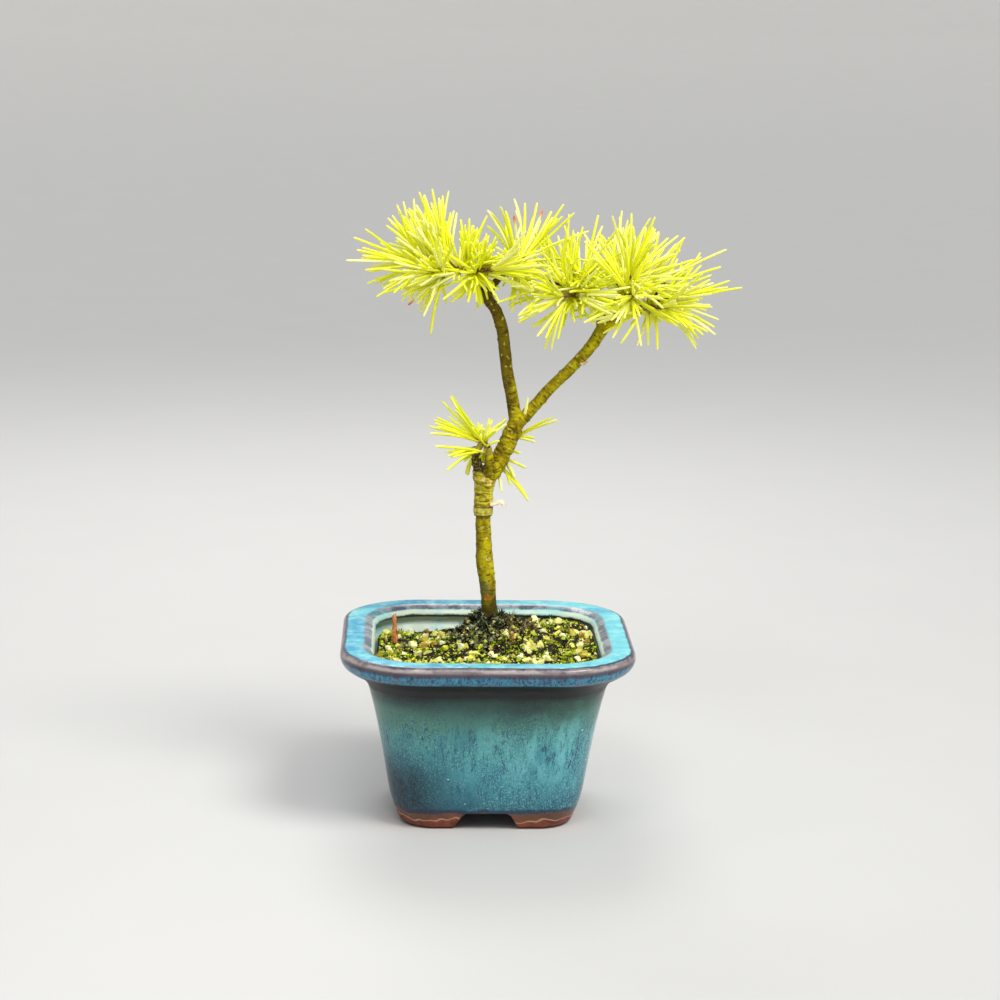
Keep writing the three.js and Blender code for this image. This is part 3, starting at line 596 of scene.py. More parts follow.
def scatter_tree():
    """Scatters turned copies of a shape over a surface. The tag share says where they are dense."""
    kinds = {"Shape": "Object", "Density": "Float", "Smallest": "Float", "Largest": "Float", "Seed": "Int"}
    growth = Growth("Scatter", **kinds, Material="Material")
    seed = growth["Seed"]
    numbers = {0: growth.tag("share"), 1: growth["Density"]}
    dense = growth.node("ShaderNodeMath", {"operation": "MULTIPLY"}, numbers)
    inputs = {"Mesh": growth["Geometry"], "Density": dense, "Seed": seed}
    points = growth.node("GeometryNodeDistributePointsOnFaces", None, inputs)
    inputs = {"Min": (0.0, 0.0, 0.0), "Max": (6.28, 6.28, 6.28), "Seed": seed}
    turn = growth.node("FunctionNodeRandomValue", {"data_type": "FLOAT_VECTOR"}, inputs)
    draw = growth.node("FunctionNodeRandomValue", {"data_type": "FLOAT"}, {"Seed": seed}, 1)
    skew = growth.node("ShaderNodeMath", {"operation": "POWER"}, {0: draw, 1: 2.2})
    inputs = {"Value": skew, "To Min": growth["Smallest"], "To Max": growth["Largest"]}
    size = growth.node("ShaderNodeMapRange", None, inputs)
    shape = growth.node("GeometryNodeObjectInfo", None, {"Object": growth["Shape"]}, "Geometry")
    inputs = {"Points": points, "Instance": shape, "Rotation": turn, "Scale": size}
    copies = growth.node("GeometryNodeInstanceOnPoints", None, inputs)
    tone = growth.node("FunctionNodeRandomValue", {"data_type": "FLOAT"}, {"Seed": 91}, 1)
    inputs = {"Geometry": copies, "Name": "tone", "Value": tone}
    stored = {"data_type": "FLOAT", "domain": "INSTANCE"}
    return growth.finish(growth.node("GeometryNodeStoreNamedAttribute", stored, inputs))


# Pot


def square_ring(half, z, corner_steps, side_steps):
    """A square with round corners at one height, as points in millimetres."""
    radius = RIM_CORNER * (half / RIM_HALF) ** CORNER_POWER
    flat = half - radius
    ring = []
    for corner in range(4):
        middle = math.pi / 4 + corner * math.pi / 2
        cx, cy = math.copysign(flat, math.cos(middle)), math.copysign(flat, math.sin(middle))
        for i in range(corner_steps + 1):
            a = (corner + i / corner_steps) * math.pi / 2
            ring.append(Vector((cx + radius * math.cos(a), cy + radius * math.sin(a), z)))
        a = (corner + 1) * math.pi / 2
        along = Vector((-math.sin(a), math.cos(a), 0)) * (2 * flat / side_steps)
        for i in range(1, side_steps):
            ring.append(ring[-1] + along)
    return ring


def glaze():
    """Runny turquoise glaze that breaks brown on the rim's edges, over red-brown clay feet."""
    paint = Paint("turquoise_glaze")
    place = paint.place()
    across, height = paint.axis(place, 0), paint.axis(place, 2)
    patches = paint.grain(place, 16, 4, 0.6, 0.6)
    clouds = paint.grain(place, 5, 5, 0.65)
    runs = paint.grain(paint.scale(place, (1, 1, 0.22)), 0.7, 4, 0.75, 0.3)
    drips = paint.grain(paint.scale(place, (1, 1, 0.16)), 1.5, 4, 0.7, 0.5)
    fine = paint.grain(paint.scale(place, (1, 1, 0.5)), 0.32, 3, 0.75)
    broad = paint.grain(paint.scale(place, (1, 1, 0.3)), 6.5, 3, 0.6)

    # The wall: blue below, turquoise, then green, and black under the rim as painted shade; navy at the lower
    # left, partly painted shade
    level = height + (patches - 0.5) * 12 + (clouds - 0.5) * 6 + across.step(4, 30) * -3
    # The ramp's black top is painted shade under the rim
    body = paint.ramp(
        (level - 4) / 46,
        [(0.0, "#255f76"), (0.22, "#3f8a95"), (0.42, "#4fa1a8"), (0.56, "#559f9b"), (0.66, "#4d8475"),
         (0.77, "#335447"), (0.9, "#121c17"), (1.0, "#090e0b")],
    )
    low = 1 - (height + (clouds - 0.5) * 12).step(13, 35)
    # Navy glaze at the lower left, deepened there as painted shade
    navy = (across * -1 + (patches - 0.5) * 16).step(1, 25) * low
    green = (across * -1 + (clouds - 0.5) * 16).step(2, 28) * height.step(29, 36)
    runny = 1 - (height + (clouds - 0.5) * 14).step(30, 40) * 0.9
    streak = (runs * 0.62 + drips * 0.38).step(0.485, 0.57) * runny
    # Pale patches that grow towards the right and up the wall, partly glaze and partly painted light
    bright = (1 - broad.step(0.4, 0.52)) * across.step(-20, 24) * height.step(8, 24)
    pale = fine.step(0.5, 0.64) * runny * patches.step(0.28, 0.55)
    specks = 1 - paint.dots(place, 2.9).step(0.05, 0.1)
    glints = 1 - paint.dots(paint.scale(place, (1, 1, 1.3)), 7.5).step(0.02, 0.045)
    body = paint.coats(
        body,
        # Painted shade: darker towards the left of the body
        ((1 - across.step(-8, 30)) * 0.16, "#1c4f5b"),
        # Navy at the lower left, partly painted shade
        (navy * 0.97, "#0b1b29"),
        (green * 0.55 * (1 - height.step(38, 43)), "#5a8c7a"),
        (streak * 0.76 * (1 - navy * 0.55), "#1c566e"),
        (broad.step(0.5, 0.62) * 0.3 * runny, "#1d5c78"),
        # Pale glaze patches, partly painted light on the right
        (bright * runny * 0.42, "#84d4d8"),
        (drips.step(0.57, 0.67) * runny * 0.62, "#143a54"),
        (pale * 0.7 * (1 - navy * 0.8), "#84cccf"),
        (specks * 0.75, "#0f2c38"),
        (glints, "#e6f4f2"),
    )

    # The rim, by the way along the wall from its crown, in millimetres
    edge = paint.tag("wall") + (clouds - 0.5) * 1.5 + (fine - 0.5) * 0.5
    shadow = edge.band(-17.5, -8.0, 1.4)
    lip = paint.coats(
        "#3a8cab",
        ((runs * 0.6 + drips * 0.4).step(0.45, 0.57), "#1d3f5e"),
        (fine.step(0.54, 0.66) * 0.6, "#7fbccb"),
        (clouds.step(0.5, 0.64) * 0.4, "#6f6a80"),
    )
    mauve = paint.coats(
        "#897f7e",
        (clouds.step(0.4, 0.66), "#594c58"),
        # Painted highlight: a pale streak along the middle of the mauve band
        (edge.band(-3.3, -2.4, 0.35) * patches.step(0.4, 0.56) * 0.5, "#cdc3bc"),
        (runs.step(0.55, 0.66) * 0.35, "#57485b"),
    )
    top = paint.coats(
        "#0f9ac2",
        ((patches + across.step(-40, 40) * 0.12).step(0.42, 0.66), "#66d0dc"),
        (clouds.step(0.44, 0.66) * 0.48, "#aef0ee"),
        (fine.step(0.55, 0.75) * 0.2, "#2c93b8"),
    )
    crest = paint.blend(clouds.step(0.42, 0.6), "#565663", "#969aa0")
    crest = paint.blend(patches.step(0.52, 0.64) * 0.5, crest, "#4d98a8")
    inside = paint.blend(patches.step(0.4, 0.65), "#dcecda", "#aedcd8")

    # The feet: bare clay under the glaze's wavy end, glossier above a wavy line, with a pale line along it
    # that is partly painted highlight
    glaze_end = height + (paint.grain(place, 7, 2) - 0.5) * 3.4 + (clouds - 0.5) * 0.8
    clay = 1 - glaze_end.step(5.2, 5.7)
    gloss_line = height + (paint.grain(place, 5.5, 1) - 0.5) * 7 + (clouds - 0.5) * 0.6
    earth = paint.coats(
        "#622a14",
        (clouds.step(0.4, 0.62), "#8f4728"),
        (patches.step(0.5, 0.62) * 0.35, "#6d4440"),
        (fine.step(0.56, 0.7) * 0.4, "#32160d"),
        (gloss_line.step(3.2, 3.8) * 0.55, "#5d4632"),
        # Pale line along the glossy edge, partly painted highlight
        (gloss_line.band(2.9, 3.4, 0.24) * 0.75, "#d3a68c"),
        ((1 - height.step(0.1, 1.2)) * 0.5, "#3d2017"),
    )
    colour = paint.coats(
        body,
        (shadow * 0.97, "#030504"),
        (edge.band(-8.3, -4.1, 0.5), lip),
        (edge.band(-4.3, -1.5, 0.45), mauve),
        (edge.band(-4.9, -3.6, 0.4) * 0.7, "#33283e"),
        (edge.band(-1.7, -0.9, 0.28) * 0.8, "#2a3a5c"),
        (edge.step(-1.2, -0.6), top),
        (edge.band(4.5, 7.1, 0.6), crest),
        (edge.step(6.9, 7.5), inside),
        # Painted shade in the undercut below the inner lip
        (edge.band(8.9, 10.6, 0.35) * 0.95, "#0d1316"),
        (glaze_end.band(5.4, 6.8, 0.35) * 0.8, "#262741"),
        (clay, earth),
    )
    matt = 1 - gloss_line.step(2.7, 3.2)
    roughness = 0.12 + clouds * 0.1 + shadow * 0.25 + clay * 0.12 + clay * matt * 0.28
    relief = clouds * 0.5 + fine * 0.12 + runs * 0.12
    return paint.finish(colour, roughness, relief, 0.22, Specular_IOR_Level=0.42)


def length_setting(name, description, default):
    return bpy.props.FloatProperty(name=name, description=description, default=default, unit="LENGTH")


class PotSettings(bpy.types.PropertyGroup):
    notch_width: length_setting("Notch Width", "Width of the gap between two feet at the bottom", 0.021)
    notch_height: length_setting("Notch Height", "Height of the feet", 0.0056)
    drain_radius: length_setting("Drain Radius", "Radius of the drain hole", 0.006)


class BONSAI_OT_pot(bpy.types.Operator):
    """Make the glazed pot, with its notched feet and drain hole"""

    bl_idname = "bonsai.pot"
    bl_label = "Pot"

    def execute(self, context):
        profile = smooth_line([(half, z, 0) for half, z in OUTER_WALL + RIM_TOP + INNER_WALL], 4)
        lengths = lengths_along(profile)
        crown = max(range(len(profile)), key=lambda i: profile[i].y)
        rings = [square_ring(p.x, p.y, 14, 8) for p in profile]
        points, faces = skin(rings, Vector((0, 0, 0)), Vector((0, 0, FLOOR_TOP)))
        wall = [length - lengths[crown] for length in lengths for _ in rings[0]]
        mesh = make_mesh("pot_glazed", points, faces, wall=wall + [-90.0, 90.0])
        pot = add_object("pot_glazed", mesh)
        cutters = self.cutters()
        for cutter in cutters:
            cut = pot.modifiers.new("Cut", "BOOLEAN")
            cut.operation = "DIFFERENCE"
            cut.object = cutter
        bake_modifiers(pot)
        for cutter in cutters:
            drop(cutter)
        shade(pot, 38)
        dress(pot, glaze(), "glaze", "pot")
        return {"FINISHED"}

    def cutters(self):
        """The solids to cut away: the recess between the feet, the two notches and the drain hole."""
        sizes = settings_of("pot")
        tall = sizes.notch_height / MM
        low, high = sizes.notch_width / MM / 2, NOTCH_TOP
        hole = sizes.drain_radius / MM
        recess = [square_ring(RECESS[0], -1, 8, 2), square_ring(RECESS[1], tall, 8, 2)]
        solids = [skin(recess, Vector((0, 0, -1)), Vector((0, 0, tall)))]
        corners = [
            (-low, -0.5), (low, -0.5), (high + 0.5, tall - 0.9), (high - 0.7, tall), (0.7 - high, tall),
            (-high - 0.5, tall - 0.9),
        ]
        for turn in (0, math.pi / 2):
            spin = Matrix.Rotation(turn, 3, "Z")
            ends = [[spin @ Vector((x, y, z)) for x, z in corners] for y in (60, -60)]
            solids.append(skin(ends, spin @ Vector((0, 60, 2)), spin @ Vector((0, -60, 2))))
        ends = [[Vector((hole * math.cos(a), hole * math.sin(a), z)) for a in angles(40)] for z in (2, 14)]
        solids.append(skin(ends, Vector((0, 0, 2)), Vector((0, 0, 14))))
        return [add_object("cutter", make_mesh("cutter", *solid)) for solid in solids]


class BONSAI_OT_drain_mesh(bpy.types.Operator):
    """Finish the plastic mesh over the drain hole"""

    bl_idname = "bonsai.drain_mesh"
    bl_label = "Drain Mesh"

    def execute(self, context):
        paint = Paint("mesh_plastic")
        dust = paint.grain(paint.place(), 1.2, 4, 0.6)
        colour = paint.blend(dust.step(0.45, 0.7) * 0.5, "#1b1d1c", "#4a3f30")
        mesh = NODES["drain_mesh"].data
        mesh.materials.clear()
        mesh.materials.append(paint.finish(colour, 0.45 + dust * 0.3, dust, 0.08))
        return {"FINISHED"}


# Soil


def soil_height(x, y):
    """The ground's height in millimetres: heaped round the stem, with a dip and banks at the back left."""
    tilt = 1.6 * math.tanh(x / 18) + 0.7 * math.tanh(-y / 20)
    tilt += 1.1 * math.exp(-((x - 20) ** 2 + (y - 22) ** 2) / 160)
    dip = -2.4 * math.exp(-((x + 18) ** 2 + (y - 28) ** 2) / 240)
    bank = 2.6 * math.exp(-((x + 27) ** 2) / 50 - (y - 21) ** 2 / 60)
    bank += 1.3 * math.exp(-((x + 12) ** 2) / 120 - (y - 29) ** 2 / 40)
    reach = math.hypot(x - TRUNK_XY[0], y - TRUNK_XY[1]) / MOUND_REACH
    ripple = 0.35 * math.sin(x * 0.9 + y * 0.4) * math.cos(y * 0.8 - x * 0.3)
    return TALL - 5 + tilt + dip + bank + MOUND_TALL * math.exp(-reach * reach) + ripple


def inner_half(z):
    """Half width of the pot's inside at a height."""
    halves, heights = zip(*reversed(INNER_WALL))
    return float(np.interp(z, heights, halves))


def ground_top(clearance):
    """Rings of points over the ground, from the pot's wall inward."""
    widest = inner_half(TALL - 3)
    edge = []
    for p in square_ring(widest, 0, 14, 14):
        z = soil_height(p.x, p.y)
        share = (min(inner_half(z), widest) - clearance) / widest
        edge.append(Vector((p.x * share, p.y * share, z)))
    top = [edge]
    for r in range(1, GROUND_RINGS):
        share = 1 - r / GROUND_RINGS
        ring = []
        for p in edge:
            x, y = p.x * share, p.y * share
            lump = noise.noise(Vector((x, y, 3)) * 0.55) * 0.5 + noise.noise(Vector((x, y, 9)) * 1.4) * 0.25
            ring.append(Vector((x, y, soil_height(x, y) + lump)))
        top.append(ring)
    return top


def stone_shape(seed, stretch, corners=10):
    """A small angular stone of radius 1."""
    chance = random.Random(seed)
    solid = bmesh.new()
    for i in range(corners):
        z = 1 - (2 * i + 1) / corners
        around = math.sqrt(1 - z * z)
        spot = Vector((around * math.cos(i * 2.4), around * math.sin(i * 2.4), z))
        spot += stray(chance, 0.3)
        spot = spot.normalized() * chance.uniform(0.75, 1.1)
        solid.verts.new([c * s for c, s in zip(spot, stretch)])
    bmesh.ops.convex_hull(solid, input=solid.verts)
    loose = [vert for vert in solid.verts if not vert.link_faces]
    bmesh.ops.delete(solid, geom=loose, context="VERTS")
    bmesh.ops.recalc_face_normals(solid, faces=solid.faces)
    return add_object("stone", mesh_of("stone", solid))


def tuft_shape(seed, blades, lean, width=0.16):
    """A tuft of small pointed leaves of height 1."""
    chance = random.Random(seed)
    points, faces = [], []
    for _ in range(blades):
        turn = chance.uniform(0, math.tau)
        tilt = chance.uniform(0.1, lean)
        tip = Vector((math.sin(tilt) * math.cos(turn), math.sin(tilt) * math.sin(turn), math.cos(tilt)))
        tip *= chance.uniform(0.6, 1)
        side = Vector((-math.sin(turn), math.cos(turn), 0)) * width
        back = Vector((math.cos(turn), math.sin(turn), 0)) * width * 0.6
        n = len(points)
        points += [side, -side, back, tip]
        faces += [(n, n + 1, n + 3), (n + 1, n + 2, n + 3), (n + 2, n, n + 3), (n, n + 2, n + 1)]
    mesh = bpy.data.meshes.new("tuft")
    mesh.from_pydata(points, [], faces)
    return add_object("tuft", mesh)


def scatter(name, host, shapes, density, sizes, seed, material, slot):
    """Scatters shapes over copies of a host surface and joins them into one piece.

    The density is for a square metre, and sizes are the smallest and largest in millimetres.
    """
    growth = scatter_tree()
    parts = []
    for i, shape in enumerate(shapes):
        part = add_object(name, host.data.copy())
        growth.grow(
            part, Shape=shape, Density=density / len(shapes), Smallest=sizes[0] * MM,
            Largest=sizes[1] * MM, Seed=seed + i, Material=material,
        )
        parts.append(part)
    dress(add_object(name, joined(name, parts)), material, slot)
    for shape in shapes:
        drop(shape)


def share_host(weight):
    """The ground's top as an open surface, tagged with how densely things lie at each point."""
    top = ground_top(clearance=1.2)
    points = [p for ring in top for p in ring]
    faces = ring_faces(len(top), len(top[0]))
    return add_object("host", make_mesh("host", points, faces, share=[weight(p) for p in points]))


def earth_material():
    """Dark damp earth, with a little moss on its clumps; its darkest tones are partly painted shade between
    the stones.
    """
    paint = Paint("damp_earth")
    place = paint.place()
    clumps = paint.grain(place, 2.2, 5, 0.65)
    fine = paint.grain(place, 0.5, 4, 0.7)
    # The darkest tones are partly painted shade of the gaps between the stones
    colour = paint.ramp(clumps, [(0.3, "#080703"), (0.48, "#171309"), (0.6, "#2c2712"), (0.74, "#4f5615")])
    colour = paint.blend(fine.step(0.6, 0.75) * 0.4, colour, "#544524")
    return paint.finish(colour, 0.95, clumps * 0.7 + fine * 0.4, 0.7, Specular_IOR_Level=0.2)


def grit_material():
    """Pale porous stones, some of them green with algae and a few brown."""
    paint = Paint("pale_grit")
    place = paint.place()
    pores = paint.grain(place, 0.5, 4, 0.7)
    algae = paint.grain(place, 1.6, 3)
    kinds = [(0.0, "#fdf48c"), (0.2, "#fffdca"), (0.38, "#f2e668"), (0.5, "#d2d636"), (0.6, "#fff7a0"),
             (0.74, "#c4ae3c"), (0.84, "#95962a"), (0.91, "#6d5a26"), (0.95, "#c8783a"), (1.0, "#7d7650")]
    colour = paint.ramp(paint.tag("tone"), kinds)
    colour = paint.blend(algae.step(0.52, 0.66) * 0.45, colour, "#b2bb26")
    colour = paint.blend(pores.step(0.55, 0.7) * 0.35, colour, "#857226")
    return paint.finish(colour, 0.85, pores, 0.3, Specular_IOR_Level=0.3)


def moss_material(name, stops):
    paint = Paint(name)
    place = paint.place()
    colour = paint.ramp(paint.tag("tone") * 0.55 + paint.grain(place, 3.5, 3) * 0.75 - 0.12, stops)
    return paint.finish(colour, 0.85, paint.grain(place, 0.3, 3), 0.15, Specular_IOR_Level=0.15)


def dead_moss_material():
    """Dark grey-green strands with some bleached ones, and browner to the right of the stem."""
    paint = Paint("dead_moss")
    place = paint.place()
    tone = paint.tag("tone")
    patches = paint.grain(place, 2.6, 3)
    stops = [(0.1, "#050703"), (0.36, "#151a0d"), (0.5, "#31381e"), (0.64, "#6a704c"), (0.82, "#b3b592")]
    brown = (paint.axis(place, 0) + (patches - 0.5) * 8).step(3, 8) * tone.step(0.3, 0.6)
    colour = paint.blend(brown * 0.6, paint.ramp(tone * 0.7 + patches * 0.6 - 0.15, stops), "#6b4e28")
    return paint.finish(colour, 0.9, patches, 0.1, Specular_IOR_Level=0.15)


class SoilSettings(bpy.types.PropertyGroup):
    grit_density: bpy.props.FloatProperty(
        name="Grit Density", description="Stones on each square metre of soil", default=210000.0
    )
    moss_density: bpy.props.FloatProperty(
        name="Moss Density", description="Moss tufts on each square metre of soil", default=1300000.0
    )


class BONSAI_OT_soil(bpy.types.Operator):
    """Make the ground that fills the pot"""

    bl_idname = "bonsai.soil"
    bl_label = "Soil"

    def execute(self, context):
        lower = [square_ring(half - SOIL_GAP, z, 14, 14) for half, z in SOIL_WALL]
        foot, middle = Vector((0, 0, SOIL_WALL[0][1])), Vector((0, 0, soil_height(0, 0)))
        surface = skin(lower + ground_top(clearance=0.6), foot, middle)
        make_piece("ground", surface, earth_material(), "grit", "soil")
        return {"FINISHED"}


def from_stem(p):
    """How far a point is from the stem, seen from above."""
    return math.hypot(p.x - TRUNK_XY[0], p.y - TRUNK_XY[1])


def clamp(value):
    return min(max(value, 0.0), 1.0)


def patch_at(p, seed, size):
    """A number about 0 that changes slowly over the ground, in patches of that size."""
    return noise.noise(Vector((p.x / size, p.y / size, seed)))


def moss_share(p):
    """Bright moss grows in patches, and not in the dark dead moss round the stem."""
    return clamp(0.6 + patch_at(p, 40, 5.5) * 2.0) * clamp((from_stem(p) - 6) / 5)


def grit_share(p):
    return clamp(0.62 + patch_at(p, 70, 5.5) * 2.0) * clamp((from_stem(p) - 5.5) / 5)


def fibre_share(p):
    """Dead moss is thick round the stem and lies in scraps over the rest."""
    near = clamp((12.5 + patch_at(p, 12, 4) * 9 - from_stem(p)) / 3)
    return max(near, 0.3 * clamp(0.3 + patch_at(p, 90, 5) * 2))


class BONSAI_OT_grit(bpy.types.Operator):
    """Scatter pale grit over the soil"""

    bl_idname = "bonsai.grit"
    bl_label = "Grit"

    def execute(self, context):
        material = grit_material()
        density = settings_of("soil").grit_density
        host = share_host(grit_share)
        long, blocky, flat = (1, 0.62, 0.55), (0.95, 0.8, 0.7), (1, 0.85, 0.45)
        shapes = [stone_shape(1, long), stone_shape(2, blocky), stone_shape(3, flat)]
        scatter("grit", host, shapes, density, (0.6, 2.4), 5, material, "grit")
        crumbs = [stone_shape(6, (1, 0.8, 0.7), 8)]
        scatter("crumbs", host, crumbs, density * CRUMBS_A_STONE, (0.2, 0.6), 61, material, "grit")
        drop(host)
        self.lay_stones(material)
        self.lay_bark()
        return {"FINISHED"}

    def lay_stones(self, material):
        """The larger stones, each bedded in the soil."""
        stones, tones = [], []
        for seed, (x, y, size, stretch, tone) in enumerate(STONES):
            stone = stone_shape(100 + seed, stretch, 16)
            turn = Matrix.Rotation(seed * 1.9, 4, "Z") @ Matrix.Rotation(0.3 * math.sin(seed * 2.1), 4, "X")
            centre = POT_MIDDLE + Vector((x, y, soil_height(x, y) + size * 0.28)) * MM
            stone.data.transform(Matrix.Translation(centre) @ turn @ Matrix.Scale(size * MM, 4))
            tones += [tone] * len(stone.data.vertices)
            stones.append(stone)
        mesh = joined("large_stones", stones)
        tag_points(mesh, tone=tones)
        dress(add_object("large_stones", mesh), material, "grit")

    def lay_bark(self):
        """A splinter of orange bark that stands in the soil near the back left corner."""
        foot = Vector((*SPLINTER_XY, soil_height(*SPLINTER_XY) - 2))
        rings = []
        for i in range(26):
            t = i / 25
            centre = foot + Vector((-0.5 * t, 1.2 * t, 11.0 * t))
            wide = 1.0 * (1 - 0.4 * t) * (1 + 0.45 * noise.noise(Vector((0, 3, t * 7))))
            ring = []
            for a in angles(14):
                rough = 1 + 0.35 * noise.noise(Vector((math.cos(a), math.sin(a), t * 9)))
                spot = Vector((wide * math.cos(a), 0.32 * math.sin(a), 0.2 * math.cos(a)))
                ring.append(centre + spot * rough)
            rings.append(ring)
        surface = skin(rings, foot, rings[-1][0] + Vector((-0.3, 0, 0.5)))
        paint = Paint("orange_bark")
        grain = paint.grain(paint.scale(paint.place(), (1, 1, 0.3)), 0.6, 4, 0.7)
        colour = paint.ramp(grain, [(0.3, "#643418"), (0.48, "#bc6c34"), (0.6, "#dd955a"), (0.76, "#f2c491")])
        make_piece("bark_splinter", surface, paint.finish(colour, 0.8, grain, 0.2), "bark", angle=60)


class BONSAI_OT_moss(bpy.types.Operator):
    """Scatter bright moss, and scraps of dead moss, between the stones"""

    bl_idname = "bonsai.moss"
    bl_label = "Moss"

    def execute(self, context):
        density = settings_of("soil").moss_density
        stops = [(0.14, "#10150a"), (0.3, "#3d4d08"), (0.42, "#86a20a"), (0.56, "#c0d610"), (0.78, "#ecf244")]
        bright = moss_material("bright_moss", stops)
        host = share_host(moss_share)
        shapes = [tuft_shape(4, 6, 1.2), tuft_shape(5, 5, 0.8)]
        scatter("moss_tufts", host, shapes, density, (0.6, 1.6), 21, bright, "moss")
        cushions = [stone_shape(8, (1, 1, 0.8), 12)]
        scatter("moss_cushions", host, cushions, density * CUSHIONS_A_TUFT, (0.25, 0.85), 33, bright, "moss")
        drop(host)
        host = share_host(fibre_share)
        shapes = [tuft_shape(12, 5, 1.35, 0.12), tuft_shape(13, 5, 1.5, 0.14)]
        dead = dead_moss_material()
        scatter("dead_moss_fibres", host, shapes, FIBRE_DENSITY, (1.0, 3.0), 51, dead, "moss")
        drop(host)
        return {"FINISHED"}


def collar_point(share, angle):
    """A point of the ground under the moss bed, that share of the way to the bed's wavy edge."""
    reach = share * MOSS_OUTER * (1 + 0.12 * math.sin(3 * angle + 1) + 0.08 * math.sin(5 * angle))
    x = TRUNK_XY[0] + reach * math.cos(angle)
    y = TRUNK_XY[1] + reach * math.sin(angle)
    return x, y, soil_height(x, y)


class BONSAI_OT_moss_collar(bpy.types.Operator):
    """Make the bed of dark dead moss round the foot of the stem"""

    bl_idname = "bonsai.moss_collar"
    bl_label = "Moss Collar"

    def execute(self, context):
        rings = []
        spokes, steps = 120, 30
        for r in range(steps, 0, -1):
            share = r / steps
            ring = []
            for a in angles(spokes):
                x, y, z = collar_point(share, a)
                spot = Vector((x, y, 5))
                lump = 0.6 * noise.noise(spot * 0.5) + 0.5 * noise.noise(spot * 1.2)
                lump += 0.25 * noise.noise(spot * 3)
                lift = 0.3 + (0.35 + 0.65 * (1 - share**3)) * (0.9 + lump)
                lift += 3.2 * math.exp(-((x + 2.8) ** 2 + (y - 8.5) ** 2) / 8)  # the clump left of the stem
                ring.append(Vector((x, y, z + (lift if r < steps else -0.4))))
            rings.append(ring)
        x, y, z = collar_point(0, 0)
        surface = skin(rings, Vector((x, y, z - 1.6)), Vector((x, y, z + 1.7)))
        dead = dead_moss_material()
        tone = [0.25] * len(surface[0])
        collar = make_piece("dark_moss", surface, dead, "moss", "moss_collar", tone=tone)
        self.cover(collar, dead)
        return {"FINISHED"}

    def cover(self, collar, dead):
        """Tangled strands over the bed, with bright moss and a little grit towards its edge."""
        bed = self.host_on(collar, lambda far: 1.0)
        strands = [tuft_shape(14, 5, 1.2, 0.11), tuft_shape(15, 5, 1.5, 0.13)]
        scatter("dead_moss_strands", bed, strands, STRAND_DENSITY, (1.3, 3.6), 81, dead, "moss")
        drop(bed)
        rim = self.host_on(collar, lambda far: clamp((far - 3) / 5))
        stops = [(0.1, "#263008"), (0.35, "#66780f"), (0.6, "#a6b522"), (0.85, "#d4d65a")]
        moss = moss_material("rim_moss", stops)
        scatter("collar_moss", rim, [tuft_shape(16, 6, 1.1)], RIM_MOSS_DENSITY, (0.6, 1.4), 83, moss, "moss")
        grains = [stone_shape(17, (1, 0.8, 0.6))]
        scatter("collar_grit", rim, grains, RIM_GRIT_DENSITY, (0.35, 1.2), 85, grit_material(), "grit")
        drop(rim)

    @staticmethod
    def host_on(collar, weight):
        """A copy of the bed, tagged with how densely things lie that far from the stem."""
        host = add_object("host", collar.data.copy())
        share = [weight(from_stem((v.co - POT_MIDDLE) / MM)) for v in host.data.vertices]
        tag_points(host.data, share=share)
        host.data.attributes.remove(host.data.attributes["tone"])
        return host


# Wood


def bark_material():
    """Yellow-olive bark with fine rings, dark in its creases partly as painted shade, and with painted shade
    that makes the left branch browner and darkens every side that faces left.
    """
    paint = Paint("olive_bark")
    paint = Paint("olive_bark")
    place = paint.place()
    along = paint.tag("along")
    across, depth, height = (paint.axis(place, i) for i in range(3))
    patches = paint.grain(place, 3.4, 4, 0.6)
    fine = paint.grain(place, 0.7, 4, 0.7)
    squashed = paint.node("ShaderNodeCombineXYZ", None, [across * 0.25, depth * 0.25, along * 0.9])
    rings = paint.grain(squashed, 0.9, 3, 0.6, 0.3)
    # Dark ring creases, partly bark colour and partly painted shade, with more of them where the bark folds
    crease = (rings + height.band(104, 125, 2) * 0.05).step(0.57, 0.66)
    # Painted shade: the left branch is darker brown
    left = (1 - (across + (patches - 0.5) * 4).step(6, 9.5)) * height.step(121, 126)
    lichen = paint.grain(place, 1.6, 3, 0.6).step(0.6, 0.67)
    base = 1 - (height + (patches - 0.5) * 5 - across * 0.8).step(62, 68)
    grey = (height + (patches - 0.5) * 3).band(66, 70.5, 1.2) * (1 - across.step(0.2, 1.8))
    dead = paint.ramp(fine, [(0.38, "#1a1107"), (0.48, "#46341c"), (0.55, "#8a7748"), (0.64, "#c6ba88")])
    spot = paint.node("ShaderNodeVectorMath", {"operation": "DISTANCE"}, [place, SCAR], "Value")
    scar = 1 - (spot + (fine - 0.5) * 1.6).step(0.5, 1.1)
    colour = paint.ramp(
        patches * 0.6 + rings * 0.25 + fine * 0.15,
        [(0.34, "#5d4a04"), (0.43, "#8d7a06"), (0.51, "#b5a30a"), (0.59, "#cbbf12"), (0.7, "#dbd233")],
    )
    colour = paint.coats(
        colour,
        # Painted shade on the left branch
        (left * 0.72, "#4a3606"),
        ((height + (patches - 0.5) * 6).step(152, 161) * 0.55, "#4b3a10"),
        # Dark creases, partly painted shade
        (crease * 0.75, "#3a2b05"),
        # Painted shade on the sides of the wood that face left
        (paint.tag("left_side") * (0.5 + (patches - 0.5) * 0.8), "#46360a"),
        (paint.grain(place, 1.1, 3, 0.6).step(0.63, 0.68) * 0.65, "#35240a"),
        (lichen * 0.5, "#e6dd68"),
        (paint.tag("stub") * 0.92, dead),
        (base * 0.88, "#33270d"),
        (grey * 0.75, "#5f5f3c"),
        (scar * 0.85, "#b5581a"),
    )
    relief = fine * 0.3 + (1 - crease) * 0.5 + lichen * 0.2
    return paint.finish(colour, 0.72 + fine * 0.15, relief, 0.25, Specular_IOR_Level=0.16)


